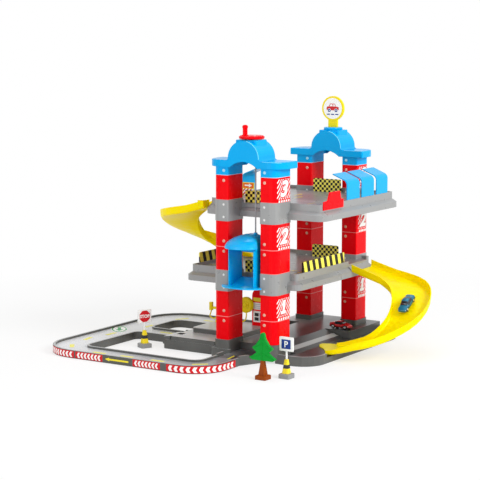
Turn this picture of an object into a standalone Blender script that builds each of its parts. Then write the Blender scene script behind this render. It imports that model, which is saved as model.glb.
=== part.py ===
"""Toy parking garage: a two-tile base, four posts, two decks, a lift, two spiral ramps.

Lengths below are in millimetres; every mesh is made in metres.
The origin lies on the ground under the middle of the four posts.
+X points to the garage's right side, +Y to its back, +Z up.
"""
import math

import bmesh
import bpy
import numpy as np
from mathutils import Matrix, Vector

MM = 0.001
GAP = 0.3

# Levels
ROAD_Z = 15.0
TRACK_RIM_Z = 20.5
RIM_Z = 24.5
LEVEL = 180.0
FLOOR_1 = 35.0
FLOOR_2 = FLOOR_1 + LEVEL
FLOOR_3 = FLOOR_2 + LEVEL
WALL = 2.5

# Posts
POST_X = 71.0
POST_Y = 208.0
POST_SIZE_X = 46.0
POST_SIZE_Y = 70.0
POST_CORNER = 19.0
POST_WALL = 2.2
COLLAR_UP = 12.6
COLLAR_DOWN = 41.5
SHELL_SPLIT = 73.0
SPIGOT = 12.0

# Decks
DECK_Y = (-178.0, 206.0)
DECK_3_X = (-144.0, 187.0)
DECK_2_X = (-205.0, 118.0)
DECK_RIM = 8.0
DECK_SKIRT_OUT = 12.0
DECK_SKIRT_DOWN = 33.0

# Arches
ARCH_HALF_X = 113.0
ARCH_FRONT = 248.0
ARCH_BACK = 168.0
ARCH_SLAB_Z = (492.0, 509.5)
VAULT_Z = 514.5
VAULT_R = 45.5
PAD_TOP = VAULT_Z + VAULT_R + 1.0
CRANK_Y = -207.0

# Lift
LIFT_HALF_X = 38.0
LIFT_REAR_Y = -196.0
LIFT_FLOOR_Z = 188.0
LIFT_LIP_Y = -253.0
LIFT_FLOOR_LIP = (58.0, 30.0)
LIFT_ROOF_LIP = (46.0, 38.0)
LIFT_ROOF_Z = 290.0
LIFT_DOME_H = 31.0
EYE_TOP = LIFT_ROOF_Z + LIFT_DOME_H + 4.0
CORD_D = 3.6
CORD_X = 12.0
CORD_TOP_Z = 533.0 - GAP
DRUM_R = 12.0
GATE_Y = -168.25
GATE_THICK = 2.5
GATE_HALF_X = 43.0
GATE_TOP = 32.0

# Ramps
RAMP_HALF = 54.0
RAMP_WAIST = 0.10
RAMP_TURN_R = 108.0
RAMP_TURN = 2.90
RAMP_TURN_X = 214.0
RAMP_ENTRY_Y = 138.0
RAMP_TAIL = 73.0
RAMP_WALL_H = 21.0
RAMP_BANK = 13.5
RAMP_FALL = {
    "lower": ((0.0, 1.0), (0.18, 0.863), (0.38, 0.735), (0.58, 0.385), (0.78, 0.115),
              (0.95, 0.003), (1.0, 0.0)),
    "upper": ((0.0, 1.0), (0.18, 0.85), (0.38, 0.67), (0.58, 0.33), (0.78, 0.10),
              (0.95, 0.003), (1.0, 0.0)),
}

STOP_TURN = 62.0

COLORS = {
    "post_red": (0.85, 0.008, 0.02, 0.34),
    "deck_grey": (0.33, 0.33, 0.33, 0.42),
    "base_grey": (0.10, 0.10, 0.095, 0.45),
    "sky_blue": (0.0, 0.40, 0.82, 0.30),
    "ramp_yellow": (0.92, 0.74, 0.0, 0.32),
    "knob_red": (0.80, 0.012, 0.02, 0.30),
    "cord_grey": (0.45, 0.45, 0.45, 0.70),
    "board_yellow": (0.90, 0.70, 0.02, 0.40),
    "tree_green": (0.006, 0.37, 0.045, 0.45),
    "trunk_brown": (0.46, 0.09, 0.005, 0.50),
    "sign_white": (0.86, 0.86, 0.84, 0.38),
    "cone_black": (0.02, 0.02, 0.02, 0.45),
    "car_red": (0.70, 0.01, 0.015, 0.25),
    "car_blue": (0.0, 0.25, 0.52, 0.25),
    "wheel_black": (0.015, 0.015, 0.015, 0.55),
    "drum_white": (0.75, 0.75, 0.72, 0.40),
}


def clear_scene():
    for obj in list(bpy.data.objects):
        bpy.data.objects.remove(obj)


clear_scene()
PARTS = bpy.data.collections.new("toy_parking_garage")
CUTTERS = bpy.data.collections.new("cutters")
bpy.context.scene.collection.children.link(PARTS)
bpy.context.scene.collection.children.link(CUTTERS)


def material(name):
    found = bpy.data.materials.get(name)
    if found:
        return found
    red, green, blue, rough = COLORS[name]
    made = bpy.data.materials.new(name)
    made.use_nodes = True
    shader = made.node_tree.nodes["Principled BSDF"]
    shader.inputs["Base Color"].default_value = (red, green, blue, 1.0)
    shader.inputs["Roughness"].default_value = rough
    shader.inputs["Metallic"].default_value = 0.0
    return made


def part(name, mesh, mat, smooth=35.0):
    """Put a mesh in the model as one named piece."""
    mesh.materials.clear()
    mesh.materials.append(material(mat))
    mesh.shade_smooth()
    mesh.set_sharp_from_angle(angle=math.radians(smooth))
    obj = bpy.data.objects.new(name, mesh)
    PARTS.objects.link(obj)
    return obj


def tool(mesh, name="cutter"):
    """Put a mesh among the cutters."""
    obj = bpy.data.objects.new(name, mesh)
    obj.hide_render = True
    obj.display_type = "WIRE"
    CUTTERS.objects.link(obj)
    return obj


def boolean(obj, mesh, operation, name):
    mod = obj.modifiers.new(name, "BOOLEAN")
    mod.operation = operation
    mod.solver = "EXACT"
    mod.object = tool(mesh, obj.name + "_" + name)
    return obj


def cut(obj, mesh, name="cut"):
    return boolean(obj, mesh, "DIFFERENCE", name)


def join(obj, mesh, name="join"):
    return boolean(obj, mesh, "UNION", name)


# Outlines: lists of corners (x, y, radius), counter-clockwise.

def rounded(corners, steps=5):
    """Replace each corner by an arc of its radius."""
    points = []
    count = len(corners)
    for i, (x, y, radius) in enumerate(corners):
        here = Vector((x, y))
        if radius < 0.05:
            points.append((x, y))
            continue
        before = Vector(corners[i - 1][:2]) - here
        after = Vector(corners[(i + 1) % count][:2]) - here
        before.normalize()
        after.normalize()
        half = before.angle(after) / 2
        reach = radius / math.tan(half)
        centre = here + (before + after).normalized() * (radius / math.sin(half))
        start = here + before * reach - centre
        end = here + after * reach - centre
        first = math.atan2(start.y, start.x)
        sweep = math.atan2(end.y, end.x) - first
        sweep = (sweep + math.pi) % (2 * math.pi) - math.pi
        for k in range(steps + 1):
            angle = first + sweep * k / steps
            points.append((centre.x + radius * math.cos(angle),
                           centre.y + radius * math.sin(angle)))
    return points


def offset(corners, distance, open_edges=None):
    """Move every edge outward by distance; open_edges gives other values by edge number."""
    count = len(corners)
    open_edges = open_edges or {}
    lines = []
    for i in range(count):
        a = Vector(corners[i][:2])
        b = Vector(corners[(i + 1) % count][:2])
        run = (b - a).normalized()
        out = Vector((run.y, -run.x))
        moved = open_edges.get(i, distance)
        lines.append((a + out * moved, run, moved))
    result = []
    for i in range(count):
        p, d, m = lines[i - 1]
        q, e, n = lines[i]
        cross = d.x * e.y - d.y * e.x
        t = ((q.x - p.x) * e.y - (q.y - p.y) * e.x) / cross
        point = p + d * t
        radius = corners[i][2]
        if radius > 0.05:
            grown = radius + (m + n) / 2 * (1 if cross > 0 else -1)
            radius = max(grown, 0.6)
        result.append((point.x, point.y, radius))
    return result


def rect(x0, y0, x1, y1, r=0.0):
    return [(x0, y0, r), (x1, y0, r), (x1, y1, r), (x0, y1, r)]


def from_bmesh(bm, name):
    mesh = bpy.data.meshes.new(name)
    bm.to_mesh(mesh)
    bm.free()
    return mesh


def plate(loops, z0, z1, name="plate"):
    """A flat piece: a filled 2D curve of one outline and its holes, extruded from z0 to z1."""
    curve = bpy.data.curves.new(name, "CURVE")
    curve.dimensions = "2D"
    curve.fill_mode = "BOTH"
    curve.extrude = (z1 - z0) / 2 * MM
    for loop in loops:
        spline = curve.splines.new("POLY")
        spline.points.add(len(loop) - 1)
        for point, (x, y) in zip(spline.points, loop):
            point.co = (x * MM, y * MM, 0.0, 1.0)
        spline.use_cyclic_u = True
    holder = bpy.data.objects.new(name, curve)
    bpy.context.scene.collection.objects.link(holder)
    graph = bpy.context.evaluated_depsgraph_get()
    mesh = bpy.data.meshes.new_from_object(holder.evaluated_get(graph))
    bpy.data.objects.remove(holder)
    bpy.data.curves.remove(curve)
    bm = bmesh.new()
    bm.from_mesh(mesh)
    bmesh.ops.remove_doubles(bm, verts=bm.verts, dist=1e-6)
    bmesh.ops.translate(bm, verts=bm.verts, vec=(0, 0, (z0 + z1) / 2 * MM))
    bmesh.ops.recalc_face_normals(bm, faces=bm.faces)
    bm.to_mesh(mesh)
    bm.free()
    return mesh


def upright(loops, y0, y1, name="upright"):
    """A plate standing in the XZ plane between y0 and y1; loops hold (x, z)."""
    mesh = plate([[(x, z) for x, z in loop] for loop in loops], -y1, -y0, name)
    mesh.transform(Matrix.Rotation(math.radians(90), 4, "X"))
    return mesh


def sideways(loops, x0, x1, name="sideways"):
    """A plate standing in the YZ plane between x0 and x1; loops hold (y, z)."""
    mesh = plate(loops, x0, x1, name)
    mesh.transform(Matrix(((0, 0, 1, 0), (1, 0, 0, 0), (0, 1, 0, 0), (0, 0, 0, 1))))
    return mesh


def box(x0, y0, z0, x1, y1, z1):
    bm = bmesh.new()
    bmesh.ops.create_cube(bm, size=1.0)
    bmesh.ops.scale(bm, verts=bm.verts, vec=((x1 - x0) * MM, (y1 - y0) * MM, (z1 - z0) * MM))
    middle = ((x0 + x1) / 2 * MM, (y0 + y1) / 2 * MM, (z0 + z1) / 2 * MM)
    bmesh.ops.translate(bm, verts=bm.verts, vec=middle)
    return from_bmesh(bm, "box")


def cylinder(x, y, z0, z1, r0, r1=None, sides=24):
    bm = bmesh.new()
    top = r0 if r1 is None else r1
    bmesh.ops.create_cone(bm, cap_ends=True, segments=sides, radius1=r0 * MM,
                          radius2=top * MM, depth=(z1 - z0) * MM)
    bmesh.ops.translate(bm, verts=bm.verts, vec=(x * MM, y * MM, (z0 + z1) / 2 * MM))
    return from_bmesh(bm, "cylinder")


def loft(rings, name="loft"):
    """Close a skin over rings of equal point counts, each a list of (x, y, z)."""
    bm = bmesh.new()
    made = [[bm.verts.new((x * MM, y * MM, z * MM)) for x, y, z in ring] for ring in rings]
    for low, high in zip(made, made[1:]):
        for i in range(len(low)):
            k = (i + 1) % len(low)
            bm.faces.new((low[i], low[k], high[k], high[i]))
    bm.faces.new(list(reversed(made[0])))
    bm.faces.new(made[-1])
    bmesh.ops.recalc_face_normals(bm, faces=bm.faces)
    bmesh.ops.triangulate(bm, faces=[f for f in bm.faces if len(f.verts) > 4])
    return from_bmesh(bm, name)


def stack(levels, steps=5, name="stack"):
    """A body from outlines at rising heights: levels hold (corners, z)."""
    return loft([[(x, y, z) for x, y in rounded(corners, steps)] for corners, z in levels], name)


def merged(meshes):
    """Several separate bodies in one mesh, used as one Boolean operand."""
    bm = bmesh.new()
    for mesh in meshes:
        bm.from_mesh(mesh)
    return from_bmesh(bm, "merged")


def turned(profile, steps=24, name="turned"):
    """A turned body about Z; the profile (r, z) runs down its outer side, top to bottom."""
    mesh = bpy.data.meshes.new(name)
    verts = [(r * MM, 0.0, z * MM) for r, z in profile]
    mesh.from_pydata(verts, [(i, i + 1) for i in range(len(verts) - 1)], [])
    holder = bpy.data.objects.new(name, mesh)
    bpy.context.scene.collection.objects.link(holder)
    screw = holder.modifiers.new("turn", "SCREW")
    screw.steps = steps
    screw.render_steps = steps
    screw.use_merge_vertices = True
    screw.merge_threshold = 0.00001
    graph = bpy.context.evaluated_depsgraph_get()
    result = bpy.data.meshes.new_from_object(holder.evaluated_get(graph))
    bpy.data.objects.remove(holder)
    bm = bmesh.new()
    bm.from_mesh(result)
    bmesh.ops.remove_doubles(bm, verts=bm.verts, dist=1e-6)
    bmesh.ops.recalc_face_normals(bm, faces=bm.faces)
    bm.to_mesh(result)
    bm.free()
    return result


def tube(points, diameter, resolution=2):
    """A round rod along points, as a POLY curve with filled caps."""
    curve = bpy.data.curves.new("tube", "CURVE")
    curve.dimensions = "3D"
    curve.bevel_depth = diameter / 2 * MM
    curve.bevel_resolution = resolution
    curve.use_fill_caps = True
    spline = curve.splines.new("POLY")
    spline.points.add(len(points) - 1)
    for point, (x, y, z) in zip(spline.points, points):
        point.co = (x * MM, y * MM, z * MM, 1.0)
    holder = bpy.data.objects.new("tube", curve)
    bpy.context.scene.collection.objects.link(holder)
    graph = bpy.context.evaluated_depsgraph_get()
    mesh = bpy.data.meshes.new_from_object(holder.evaluated_get(graph))
    bpy.data.objects.remove(holder)
    bm = bmesh.new()
    bm.from_mesh(mesh)
    bmesh.ops.remove_doubles(bm, verts=bm.verts, dist=1e-6)
    bmesh.ops.recalc_face_normals(bm, faces=bm.faces)
    bm.to_mesh(mesh)
    bm.free()
    return mesh


def thickened(rows, thickness):
    """An open surface through rows of points, given a thickness by Solidify."""
    bm = bmesh.new()
    made = [[bm.verts.new((x * MM, y * MM, z * MM)) for x, y, z in row] for row in rows]
    for a, b in zip(made, made[1:]):
        for i in range(len(a) - 1):
            bm.faces.new((a[i], a[i + 1], b[i + 1], b[i]))
    mesh = from_bmesh(bm, "sheet")
    holder = bpy.data.objects.new("sheet", mesh)
    bpy.context.scene.collection.objects.link(holder)
    solid = holder.modifiers.new("solid", "SOLIDIFY")
    solid.thickness = thickness * MM
    solid.offset = -1.0
    solid.use_even_offset = True
    graph = bpy.context.evaluated_depsgraph_get()
    result = bpy.data.meshes.new_from_object(holder.evaluated_get(graph))
    bpy.data.objects.remove(holder)
    bm = bmesh.new()
    bm.from_mesh(result)
    bmesh.ops.recalc_face_normals(bm, faces=bm.faces)
    bm.to_mesh(result)
    bm.free()
    return result


def circle(cx, cy, radius, steps=24):
    return [(cx + radius * math.cos(2 * math.pi * k / steps),
             cy + radius * math.sin(2 * math.pi * k / steps)) for k in range(steps)]


# Posts. Their outer corner, away from the garage's middle, is the round one.

def post_corners(side_x, side_y, grow=0.0):
    x, y = POST_X * side_x, POST_Y * side_y
    hx, hy = POST_SIZE_X / 2, POST_SIZE_Y / 2
    corners = []
    for sx, sy in ((-1, -1), (1, -1), (1, 1), (-1, 1)):
        outer = sx == side_x and sy == side_y
        corners.append((x + sx * hx, y + sy * hy, POST_CORNER if outer else 2.5))
    return offset(corners, grow)


POSTS = {"front_left": (-1, -1), "front_right": (1, -1),
         "rear_left": (-1, 1), "rear_right": (1, 1)}


def build_posts():
    spans = []
    for level, floor in ((1, FLOOR_1), (2, FLOOR_2)):
        low = floor + COLLAR_UP + GAP
        split = floor + SHELL_SPLIT
        high = floor + LEVEL - COLLAR_DOWN - GAP
        spans.append(("level_%d_lower" % level, low, split - GAP / 2))
        spans.append(("level_%d_upper" % level, split + GAP / 2, high))
    spans.append(("level_3", FLOOR_3 + COLLAR_UP + GAP, 471.5 - GAP))
    for corner, (sx, sy) in POSTS.items():
        outer = rounded(post_corners(sx, sy), 4)
        inner = rounded(post_corners(sx, sy, -POST_WALL), 4)
        for label, z0, z1 in spans:
            part("post_" + corner + "_" + label, plate([outer, inner], z0, z1), "post_red")


def collars(z0, z1, spigot_low, spigot_high, grow=1.5):
    """Solid collars on the four posts, with spigots that enter the shells."""
    bodies = []
    for sx, sy in POSTS.values():
        wide = post_corners(sx, sy, grow)
        slim = post_corners(sx, sy, -POST_WALL - GAP)
        levels = []
        if spigot_low:
            levels += [(slim, z0 - SPIGOT), (slim, z0)]
        levels += [(wide, z0), (wide, z1)]
        if spigot_high:
            levels += [(slim, z1), (slim, z1 + SPIGOT)]
        bodies.append(stack(levels, 4))
    return merged(bodies)


def collar_holes(z0, z1):
    return merged([stack([(post_corners(sx, sy, -POST_WALL - GAP - WALL), z0),
                          (post_corners(sx, sy, -POST_WALL - GAP - WALL), z1)], 3)
                   for sx, sy in POSTS.values()])


# Base tiles

TRACK = [(-505, -457, 108), (28, -457, 88), (26, -304.3, 0), (-45, -304.3, 0),
         (-45, -385, 25), (-398, -385, 25), (-398, -160, 15), (-285.3, -160, 0),
         (-285.3, -85, 0), (-404, -85, 20), (-404, 40, 25), (-120.3, 40, 0),
         (-120.3, 148, 0), (-505, 148, 105)]
TRACK_SEAMS = {2: 5.0, 7: 5.0, 11: 5.0}
TOWER = [(-45, -304, 0), (26, -304, 0), (60, -230, 15), (195, -241, 60),
         (195, 262, 60), (-120, 262, 10), (-120, 39.7, 0), (-230, 39.7, 0),
         (-230, -85, 0), (-285, -85, 0), (-285, -160, 0), (-267, -160, 0),
         (-267, -226, 12), (-100, -226, 0), (-100, -247, 8), (-45, -247, 0)]
TOWER_SEAMS = {0: 5.0, 9: 5.0}
RAISED = [(-244, -225, 8), (-101, -225, 0), (-101, -190, 0), (50, -190, 0),
          (50, 86, 0), (125, 86, 6), (125, 261, 6), (-119, 261, 8),
          (-119, 134, 0), (-60, 134, 0), (-60, 38.7, 0), (-229, 38.7, 0),
          (-229, -86, 0), (-244, -86, 0)]


def seam_shift(seams, value):
    return {edge: value for edge in seams}


def build_tile(name, outline, seams, rim):
    tile = part(name, plate([rounded(outline, 6)], 0, rim), "base_grey")
    pocket = offset(outline, -6.0, seam_shift(seams, 5.0))
    cut(tile, plate([rounded(pocket, 6)], ROAD_Z, rim + 5), "road")
    return tile


def lift_lip(reach_x, reach_y, rear, half, steps=16):
    """Outline of the lift's floor or roof: a straight shank and a wide, round front lip."""
    points = [(-half, rear), (-half, -247.5)]
    for k in range(steps + 1):
        angle = math.pi + math.pi * k / steps
        points.append((reach_x * math.cos(angle), LIFT_LIP_Y + reach_y * math.sin(angle)))
    points += [(half, -247.5), (half, rear)]
    return points


def build_base():
    track = build_tile("track_base", TRACK, TRACK_SEAMS, TRACK_RIM_Z)
    for y0, y1 in ((-225, -165), (-110, -65)):
        join(track, box(-517, y0, 0, -503, y1, 12), "lug")
    hollow = offset(TRACK, -WALL)
    cut(track, plate([rounded(hollow, 6)], -5, ROAD_Z - WALL), "hollow")

    tower = build_tile("tower_base", TOWER, TOWER_SEAMS, RIM_Z)
    join(tower, plate([rounded(RAISED, 4)], ROAD_Z - 1, FLOOR_1), "raised")
    lip = FLOOR_1 - 0.3
    join(tower, upright([[(-284.5, 12), (-243, 12), (-243, lip), (-246, lip),
                          (-284.5, ROAD_Z + 1)]], -159, -86.4), "arm_slope")
    join(tower, upright([[(-266, 12), (-242.5, 12), (-242.5, lip), (-264, FLOOR_1 - 3),
                          (-266, FLOOR_1 - 5)]], -224.6, -158), "arm_nose")
    join(tower, upright([[(49, 12), (106, 12), (106, ROAD_Z + 0.6), (50.5, lip), (49, lip)]],
                        -165, 82), "right_slope")
    cut(tower, upright([[(-125, ROAD_Z + 0.5), (-60, FLOOR_1), (-60, 40),
                         (-125, 40)]], 46, 128), "rear_slope")
    island = rect(-225, -150, -62, -15, 10)
    join(tower, stack([(island, 30), (island, 46.5), (offset(island, -1.5), 48)], 4), "island")
    join(tower, collars(ROAD_Z - 1, FLOOR_1 + COLLAR_UP, False, True, 2.5), "sockets")
    cut(tower, box(-246, -194, 20, -226, -174, 40), "slot")
    cut(tower, box(180, -160, ROAD_Z, 200, -8, 30), "ramp_gap")
    recess = lift_lip(LIFT_FLOOR_LIP[0] + 2, LIFT_FLOOR_LIP[1] + 2, -225, LIFT_HALF_X + 2)
    cut(tower, plate([recess], ROAD_Z, 30), "lip_recess")
    foot = circle(0, 0, 20, 24)
    under = rounded(offset(RAISED, -WALL - 0.4), 4)
    cut(tower, plate([under, foot], 5, FLOOR_1 - WALL), "raised_hollow")
    cut(tower, collar_holes(-5, 70), "holes")
    under = rounded(offset(TOWER, -WALL), 6)
    cut(tower, plate([under, foot], -5, ROAD_Z - WALL), "hollow")
    return track, tower


# Decks

def build_deck(name, x_range, floor, gaps, ramp_side, ramp_y):
    x0, x1 = x_range
    wall = rect(x0, DECK_Y[0], x1, DECK_Y[1], 8)
    skirt = offset(wall, DECK_SKIRT_OUT)
    rim = floor + DECK_RIM
    deck = part(name, stack([(skirt, floor - DECK_SKIRT_DOWN), (skirt, floor - 18),
                             (wall, floor - 10), (wall, rim)], 4), "deck_grey")
    cut(deck, stack([(offset(wall, -3.5), floor), (offset(wall, -3.5), rim + 5)], 4), "floor")
    inner = offset(wall, -WALL)
    under = offset(skirt, -WALL)
    cut(deck, stack([(under, floor - DECK_SKIRT_DOWN - 5), (under, floor - 19.5),
                     (inner, floor - 11.5), (inner, floor - 3)], 4), "hollow")
    join(deck, collars(floor - COLLAR_DOWN, floor + COLLAR_UP, True, True), "collars")
    cut(deck, collar_holes(floor - COLLAR_DOWN - 20, floor + COLLAR_UP + 20), "holes")
    for i, (gx0, gy0, gx1, gy1) in enumerate(gaps):
        cut(deck, box(gx0, gy0, floor, gx1, gy1, rim + 5), "gap_%d" % i)
    edge = x1 if ramp_side > 0 else -x0
    slope = [(edge - 8, floor), (edge - 8, floor - 14), (edge + 11.8, floor - 19),
             (edge + 11.8, floor - 17.5), (edge - 6, floor)]
    if ramp_side < 0:
        slope = [(-px, pz) for px, pz in slope]
    join(deck, upright([slope], ramp_y[0], ramp_y[1]), "ramp_edge")
    return deck


# Arches

def arc(cx, cz, radius, start, end, steps):
    return [(cx + radius * math.cos(math.radians(start + (end - start) * k / steps)),
             cz + radius * math.sin(math.radians(start + (end - start) * k / steps)))
            for k in range(steps + 1)]


def build_arch(name):
    """The front arch. The rear one is the same moulding, turned half round."""
    z0, z1 = ARCH_SLAB_Z
    slab = [(-ARCH_HALF_X, -ARCH_FRONT, 42), (ARCH_HALF_X, -ARCH_FRONT, 42),
            (ARCH_HALF_X, -ARCH_BACK, 4), (-ARCH_HALF_X, -ARCH_BACK, 4)]
    arch = part(name, stack([(slab, z0), (slab, z1 - 1.5), (offset(slab, -1.5), z1)], 6),
                "sky_blue")
    foot = 5.0
    hump = [(-VAULT_R - foot, z1 - 6), (VAULT_R + foot, z1 - 6), (VAULT_R + foot, z1 + 0.5)]
    hump += arc(VAULT_R + foot, z1 + foot + 0.5, foot, -90, -180, 3)[1:]
    hump += arc(0, VAULT_Z, VAULT_R, 0, 180, 20)
    hump += arc(-VAULT_R - foot, z1 + foot + 0.5, foot, 0, -90, 3)
    join(arch, upright([hump], -ARCH_FRONT, -ARCH_BACK), "vault")
    pad = rect(-31, -236, 31, -182, 5)
    join(arch, stack([(pad, 536), (pad, PAD_TOP - 1.5), (offset(pad, -1.5), PAD_TOP)], 3), "pad")
    wide = [(-1, -1), (1, -1)]
    bodies = []
    for sx, sy in wide:
        body = post_corners(sx, sy, 0.0)
        slim = post_corners(sx, sy, -POST_WALL - GAP)
        bodies.append(stack([(slim, 471.5 - SPIGOT), (slim, 471.5), (body, 471.5),
                             (body, z0 + 3)], 4))
    join(arch, merged(bodies), "collars")
    bore = arc(0, VAULT_Z, VAULT_R - 2.5, 0, 180, 20)
    bore += [(-VAULT_R + 2.5, z0 - 5), (VAULT_R - 2.5, z0 - 5)]
    cut(arch, upright([bore], -ARCH_FRONT + 2.0, -ARCH_BACK - 2.0), "vault_hollow")
    holes = [stack([(post_corners(sx, sy, -POST_WALL - GAP - WALL), 450),
                    (post_corners(sx, sy, -POST_WALL - GAP - WALL), z1 - 3)], 3)
             for sx, sy in wide]
    cut(arch, merged(holes), "collar_hollow")
    rise = arc(0, z0 - 46, 61, 47.5, 132.5, 12) + [(-41.2, z0 - 6), (41.2, z0 - 6)]
    cut(arch, upright([rise], -ARCH_FRONT - 5, -ARCH_BACK + 5), "arched_edge")
    return arch


# Ramps

def ramp_rows(x_start, z_start, z_end, falls_of):
    """Cross-sections of a ramp: straight in, a long turn to the right, straight out."""
    entry_run = RAMP_TURN_X - x_start
    turn_run = RAMP_TURN * RAMP_TURN_R
    total = entry_run + turn_run + RAMP_TAIL
    stations = list(np.linspace(0, entry_run, 5)[:-1])
    stations += list(np.linspace(entry_run, entry_run + turn_run, 19))
    stations += list(np.linspace(entry_run + turn_run, total, 5)[1:])
    marks, falls = zip(*RAMP_FALL[falls_of])
    centre_y = RAMP_ENTRY_Y - RAMP_TURN_R
    rows = []
    for s in stations:
        turn = min(max((s - entry_run) / RAMP_TURN_R, 0.0), RAMP_TURN)
        heading = -turn
        straight = min(s - entry_run, 0.0) + max(s - entry_run - turn_run, 0.0)
        x = RAMP_TURN_X + RAMP_TURN_R * math.sin(turn) + straight * math.cos(heading)
        y = centre_y + RAMP_TURN_R * math.cos(turn) + straight * math.sin(heading)
        share = s / total
        window = min(0.06, share, 1.0 - share)
        around = np.linspace(share - window, share + window, 9)
        z = z_end + (z_start - z_end) * float(np.mean(np.interp(around, marks, falls)))
        middle = math.sin(math.pi * share) ** 2
        half = RAMP_HALF * (1 - RAMP_WAIST * middle)
        wall = RAMP_WALL_H * min(1.0, 0.5 + 3.0 * (1.0 - share))
        left = Vector((-math.sin(heading), math.cos(heading)))
        row = []
        for across, up in ((-1.05, 1.0), (-1.03, 0.3), (-0.97, 0.04), (-0.5, 0.0), (0.0, 0.0),
                           (0.5, 0.0), (0.97, 0.04), (1.03, 0.3), (1.05, 1.0)):
            px = x + left.x * across * half
            py = y + left.y * across * half
            pz = z + up * wall + RAMP_BANK * middle * across / 2
            row.append((px, py, pz))
        rows.append(row)
    return rows


def build_ramp(name, x_start, z_start, z_end, turned_round):
    falls_of = "upper" if turned_round else "lower"
    mesh = thickened(ramp_rows(x_start, z_start, z_end, falls_of), 2.2)
    ramp = part(name, mesh, "ramp_yellow", 50)
    if turned_round:
        ramp.rotation_euler.z = math.pi
    return ramp


# Lift

def build_lift():
    z = LIFT_FLOOR_Z
    half = LIFT_HALF_X
    floor = lift_lip(*LIFT_FLOOR_LIP, LIFT_REAR_Y, half)
    cabin = part("lift_cabin", plate([floor], z + 1, z + 5), "sky_blue")
    for side in (-1, 1):
        inner, outer = sorted((side * half, side * (half - 2.0)))
        join(cabin, sideways([[(-257, z + 2), (LIFT_REAR_Y, z + 2), (LIFT_REAR_Y, LIFT_ROOF_Z + 2),
                               (-257, LIFT_ROOF_Z + 2)]], inner, outer), "wall")
    join(cabin, sideways([[(-246, z + 4), (LIFT_REAR_Y - 0.4, z + 4), (LIFT_REAR_Y - 0.4, z + 20),
                           (LIFT_REAR_Y - 8, z + 20), (-246, z + 5.5)]],
                         -half + 1, half - 1), "threshold")
    join(cabin, box(-half + 0.5, LIFT_REAR_Y - 2.4, 272, half - 0.5, LIFT_REAR_Y - 0.4,
                    LIFT_ROOF_Z + 2), "header")
    roof = lift_lip(*LIFT_ROOF_LIP, LIFT_REAR_Y - 0.2, half - 0.2)
    shares = (1.0, 0.985, 0.93, 0.83, 0.68, 0.48, 0.25)

    def dome(size, low, drop):
        rings = [[(x * size, LIFT_REAR_Y - 0.2 + (y - LIFT_REAR_Y + 0.2) * size - drop, low)
                  for x, y in roof]]
        for share in shares:
            rise = LIFT_ROOF_Z + 1.5 - drop + LIFT_DOME_H * math.sqrt(1.0 - share * share)
            rings.append([(x * size * share,
                           LIFT_REAR_Y - 0.2 + (y - LIFT_REAR_Y + 0.2) * size * share - drop,
                           rise) for x, y in roof])
        return loft(rings)

    join(cabin, dome(1.0, LIFT_ROOF_Z, 0.0), "roof")
    cut(cabin, dome(0.93, LIFT_ROOF_Z - 4, 2.4), "roof_hollow")
    join(cabin, cylinder(CORD_X, CRANK_Y, EYE_TOP - 9, EYE_TOP, 5, sides=16), "eye")
    cord = tube([(CORD_X, CRANK_Y, z2) for z2 in (EYE_TOP + GAP, 380, 450, CORD_TOP_Z)], CORD_D)
    part("lift_cord", cord, "cord_grey")

    drum = turned([(0, 549), (16, 549), (16, 547), (DRUM_R, 546), (DRUM_R, 536), (16, 535),
                   (16, 533), (0, 533)], 24)
    obj = part("winding_drum", drum, "drum_white")
    obj.location = (0, CRANK_Y * MM, 0)
    top = PAD_TOP
    knob = turned([(0, top + 10), (29, top + 10), (32.5, top + 7.5), (32.5, top + 4),
                   (31, top + 2), (4.0, top + 2), (4.0, 549 + GAP), (0, 549 + GAP)], 32)
    crank = part("crank_knob", knob, "knob_red")
    crank.location = (0, CRANK_Y * MM, 0)
    grip = turned([(0, top + 37), (4.5, top + 36.4), (7, top + 34), (7.5, top + 31),
                   (6.2, top + 27), (6.2, top + 8), (0, top + 8)], 20)
    grip.transform(Matrix.Translation((-14.0 * MM, -9.0 * MM, 0)))
    mod = crank.modifiers.new("grip", "BOOLEAN")
    mod.operation = "UNION"
    mod.object = tool(grip, "grip")
    mod.object.location = (0, CRANK_Y * MM, 0)
    return cabin


# Deck fittings

def build_canopy(name, x_wall, y0, y1, inward):
    """A blue bay canopy: a wall standing on the parapet and a roof bent over the bay."""
    profile = [(0, 403.3), (0, 445)]
    profile += arc(-8, 445, 8, 10, 70, 4)
    profile += [(-43, 468.5)]
    rows = []
    for px, pz in profile:
        rows.append([(x_wall - inward * -px, y, pz) for y in (y0, (y0 + y1) / 2, y1)])
    return part(name, thickened(rows, 2.4), "sky_blue")


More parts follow.
